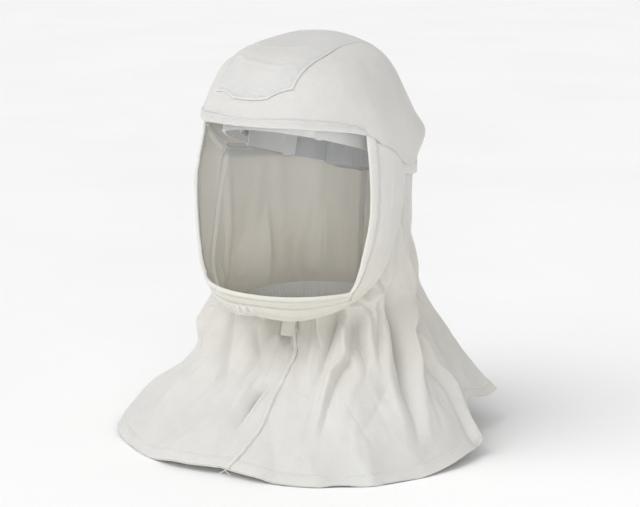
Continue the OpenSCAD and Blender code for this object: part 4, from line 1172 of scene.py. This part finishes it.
def make_pad(node, channel, across, inner):
    """A quilted foam pad in place of a CAD pad: rounded, and pressed in along its stitch channels.

    channel is the spacing of the channels, across the axis they repeat along, and inner the point
    that the pad's soft face looks at.
    """
    pad = bpy.data.objects.new(f"{node}_visual", frame["nodes"][node].data.copy())
    bpy.context.scene.collection.objects.link(pad)
    mesher = pad.modifiers.new("remesh", "REMESH")
    mesher.mode = "VOXEL"
    mesher.voxel_size = 0.8 * MM
    mesher.use_smooth_shade = True
    softer = pad.modifiers.new("smooth", "SMOOTH")
    softer.factor, softer.iterations = 0.5, 7
    graph = bpy.context.evaluated_depsgraph_get()
    mesh = bpy.data.meshes.new_from_object(pad.evaluated_get(graph))
    pad.modifiers.clear()
    pad.data = mesh
    k = len(mesh.vertices)
    p, n = np.zeros(3 * k), np.zeros(3 * k)
    mesh.vertices.foreach_get("co", p)
    mesh.vertices.foreach_get("normal", n)
    p, n = p.reshape(-1, 3) / MM, n.reshape(-1, 3)
    if across == "round":
        s = np.degrees(np.arctan2(p[:, 0], inner[1] - p[:, 1])) * 1.5
    else:
        s = p[:, "xyz".index(across)]
    face = unit(np.array(inner) - p)
    soft = smooth((n * face).sum(1), 0.3, 0.8)
    off = np.abs((s + channel / 2) % channel - channel / 2)
    lift = 0.25 + soft * (0.25 - 0.95 * np.exp(-(off / 1.3) ** 1.5)) + 0.08 * ripple(p, 6, 91)
    mesh.vertices.foreach_set("co", ((p + n * lift[:, None]) * MM).ravel())
    mesh.update()
    shade(mesh)
    piece(pad, "pad_cloth", "pad_foam", node)


BEVELS = ["headband", "strap_keepers", "ratchet_base", "ratchet_cover", "ratchet_knob", "duct_saddle",
          "front_adapter", "plenum_body", "vent_slider", "inlet_housing", "clamp_ring", "hose_elbow"]


def soften_edges(obj, width):
    """Small moulded radii on a CAD piece's edges."""
    bevel = obj.modifiers.new("bevel", "BEVEL")
    bevel.width = width * MM
    bevel.segments = 2
    bevel.limit_method = "ANGLE"
    bevel.angle_limit = math.radians(40)
    bevel.harden_normals = True


make_camera()
make_studio()
make_crown()
make_crown_panel()
make_brim_hem()
make_visor()
make_top_strip()
make_binding()
for side in (1, -1):
    make_cheek(side)
make_chin()
make_chin_tab()
make_shroud()
make_nape_elastic()
make_collar()

make_pad("sweatband", 15, "round", (0, 15, 0))
make_pad("crown_pad", 13, "y", (0, 10, 0))
make_pad("nape_pad", 13, "x", (0, 20, -20))

# The CAD nodes of each material; the rest are cloth
LOOK = {
    "steel": ["visor_snaps", "cover_screws", "knob_screw", "harness_rivets", "clamp_screws"],
    "white_plastic": ["headband", "crown_strap", "strap_keepers", "ratchet_cover", "duct_upper",
                      "duct_lower", "front_adapter", "plenum_body", "inlet_housing", "clamp_ring"],
    "pad_cloth": ["sweatband", "crown_pad", "nape_pad"],
    "grey_plastic": ["nape_strap_left", "nape_strap_right", "ratchet_base", "pawl_ring", "ratchet_pinion",
                     "ratchet_knob", "knob_cap", "duct_saddle", "plenum_grille", "vent_slider"],
    "rubber": ["inlet_gasket", "swivel_o_ring", "socket_seal"],
    "dark_plastic": ["hose_elbow"],
}
MATERIAL_OF = {node: material for material, nodes in LOOK.items() for node in nodes}
for node, obj in frame["nodes"].items():
    dress(obj, MATERIAL_OF.get(node, "hood_fabric"))
    if node in BEVELS:
        shade(obj.data)
        soften_edges(obj, 0.35)

corners = [(x * FLOOR_HALF, y * FLOOR_HALF, FLOOR_Z) for x, y in ((-1, -1), (1, -1), (1, 1), (-1, 1))]
floor = add_mesh("floor", corners, [[0, 1, 2, 3]])
floor.data.materials.append(floor_paper("floor_paper"))
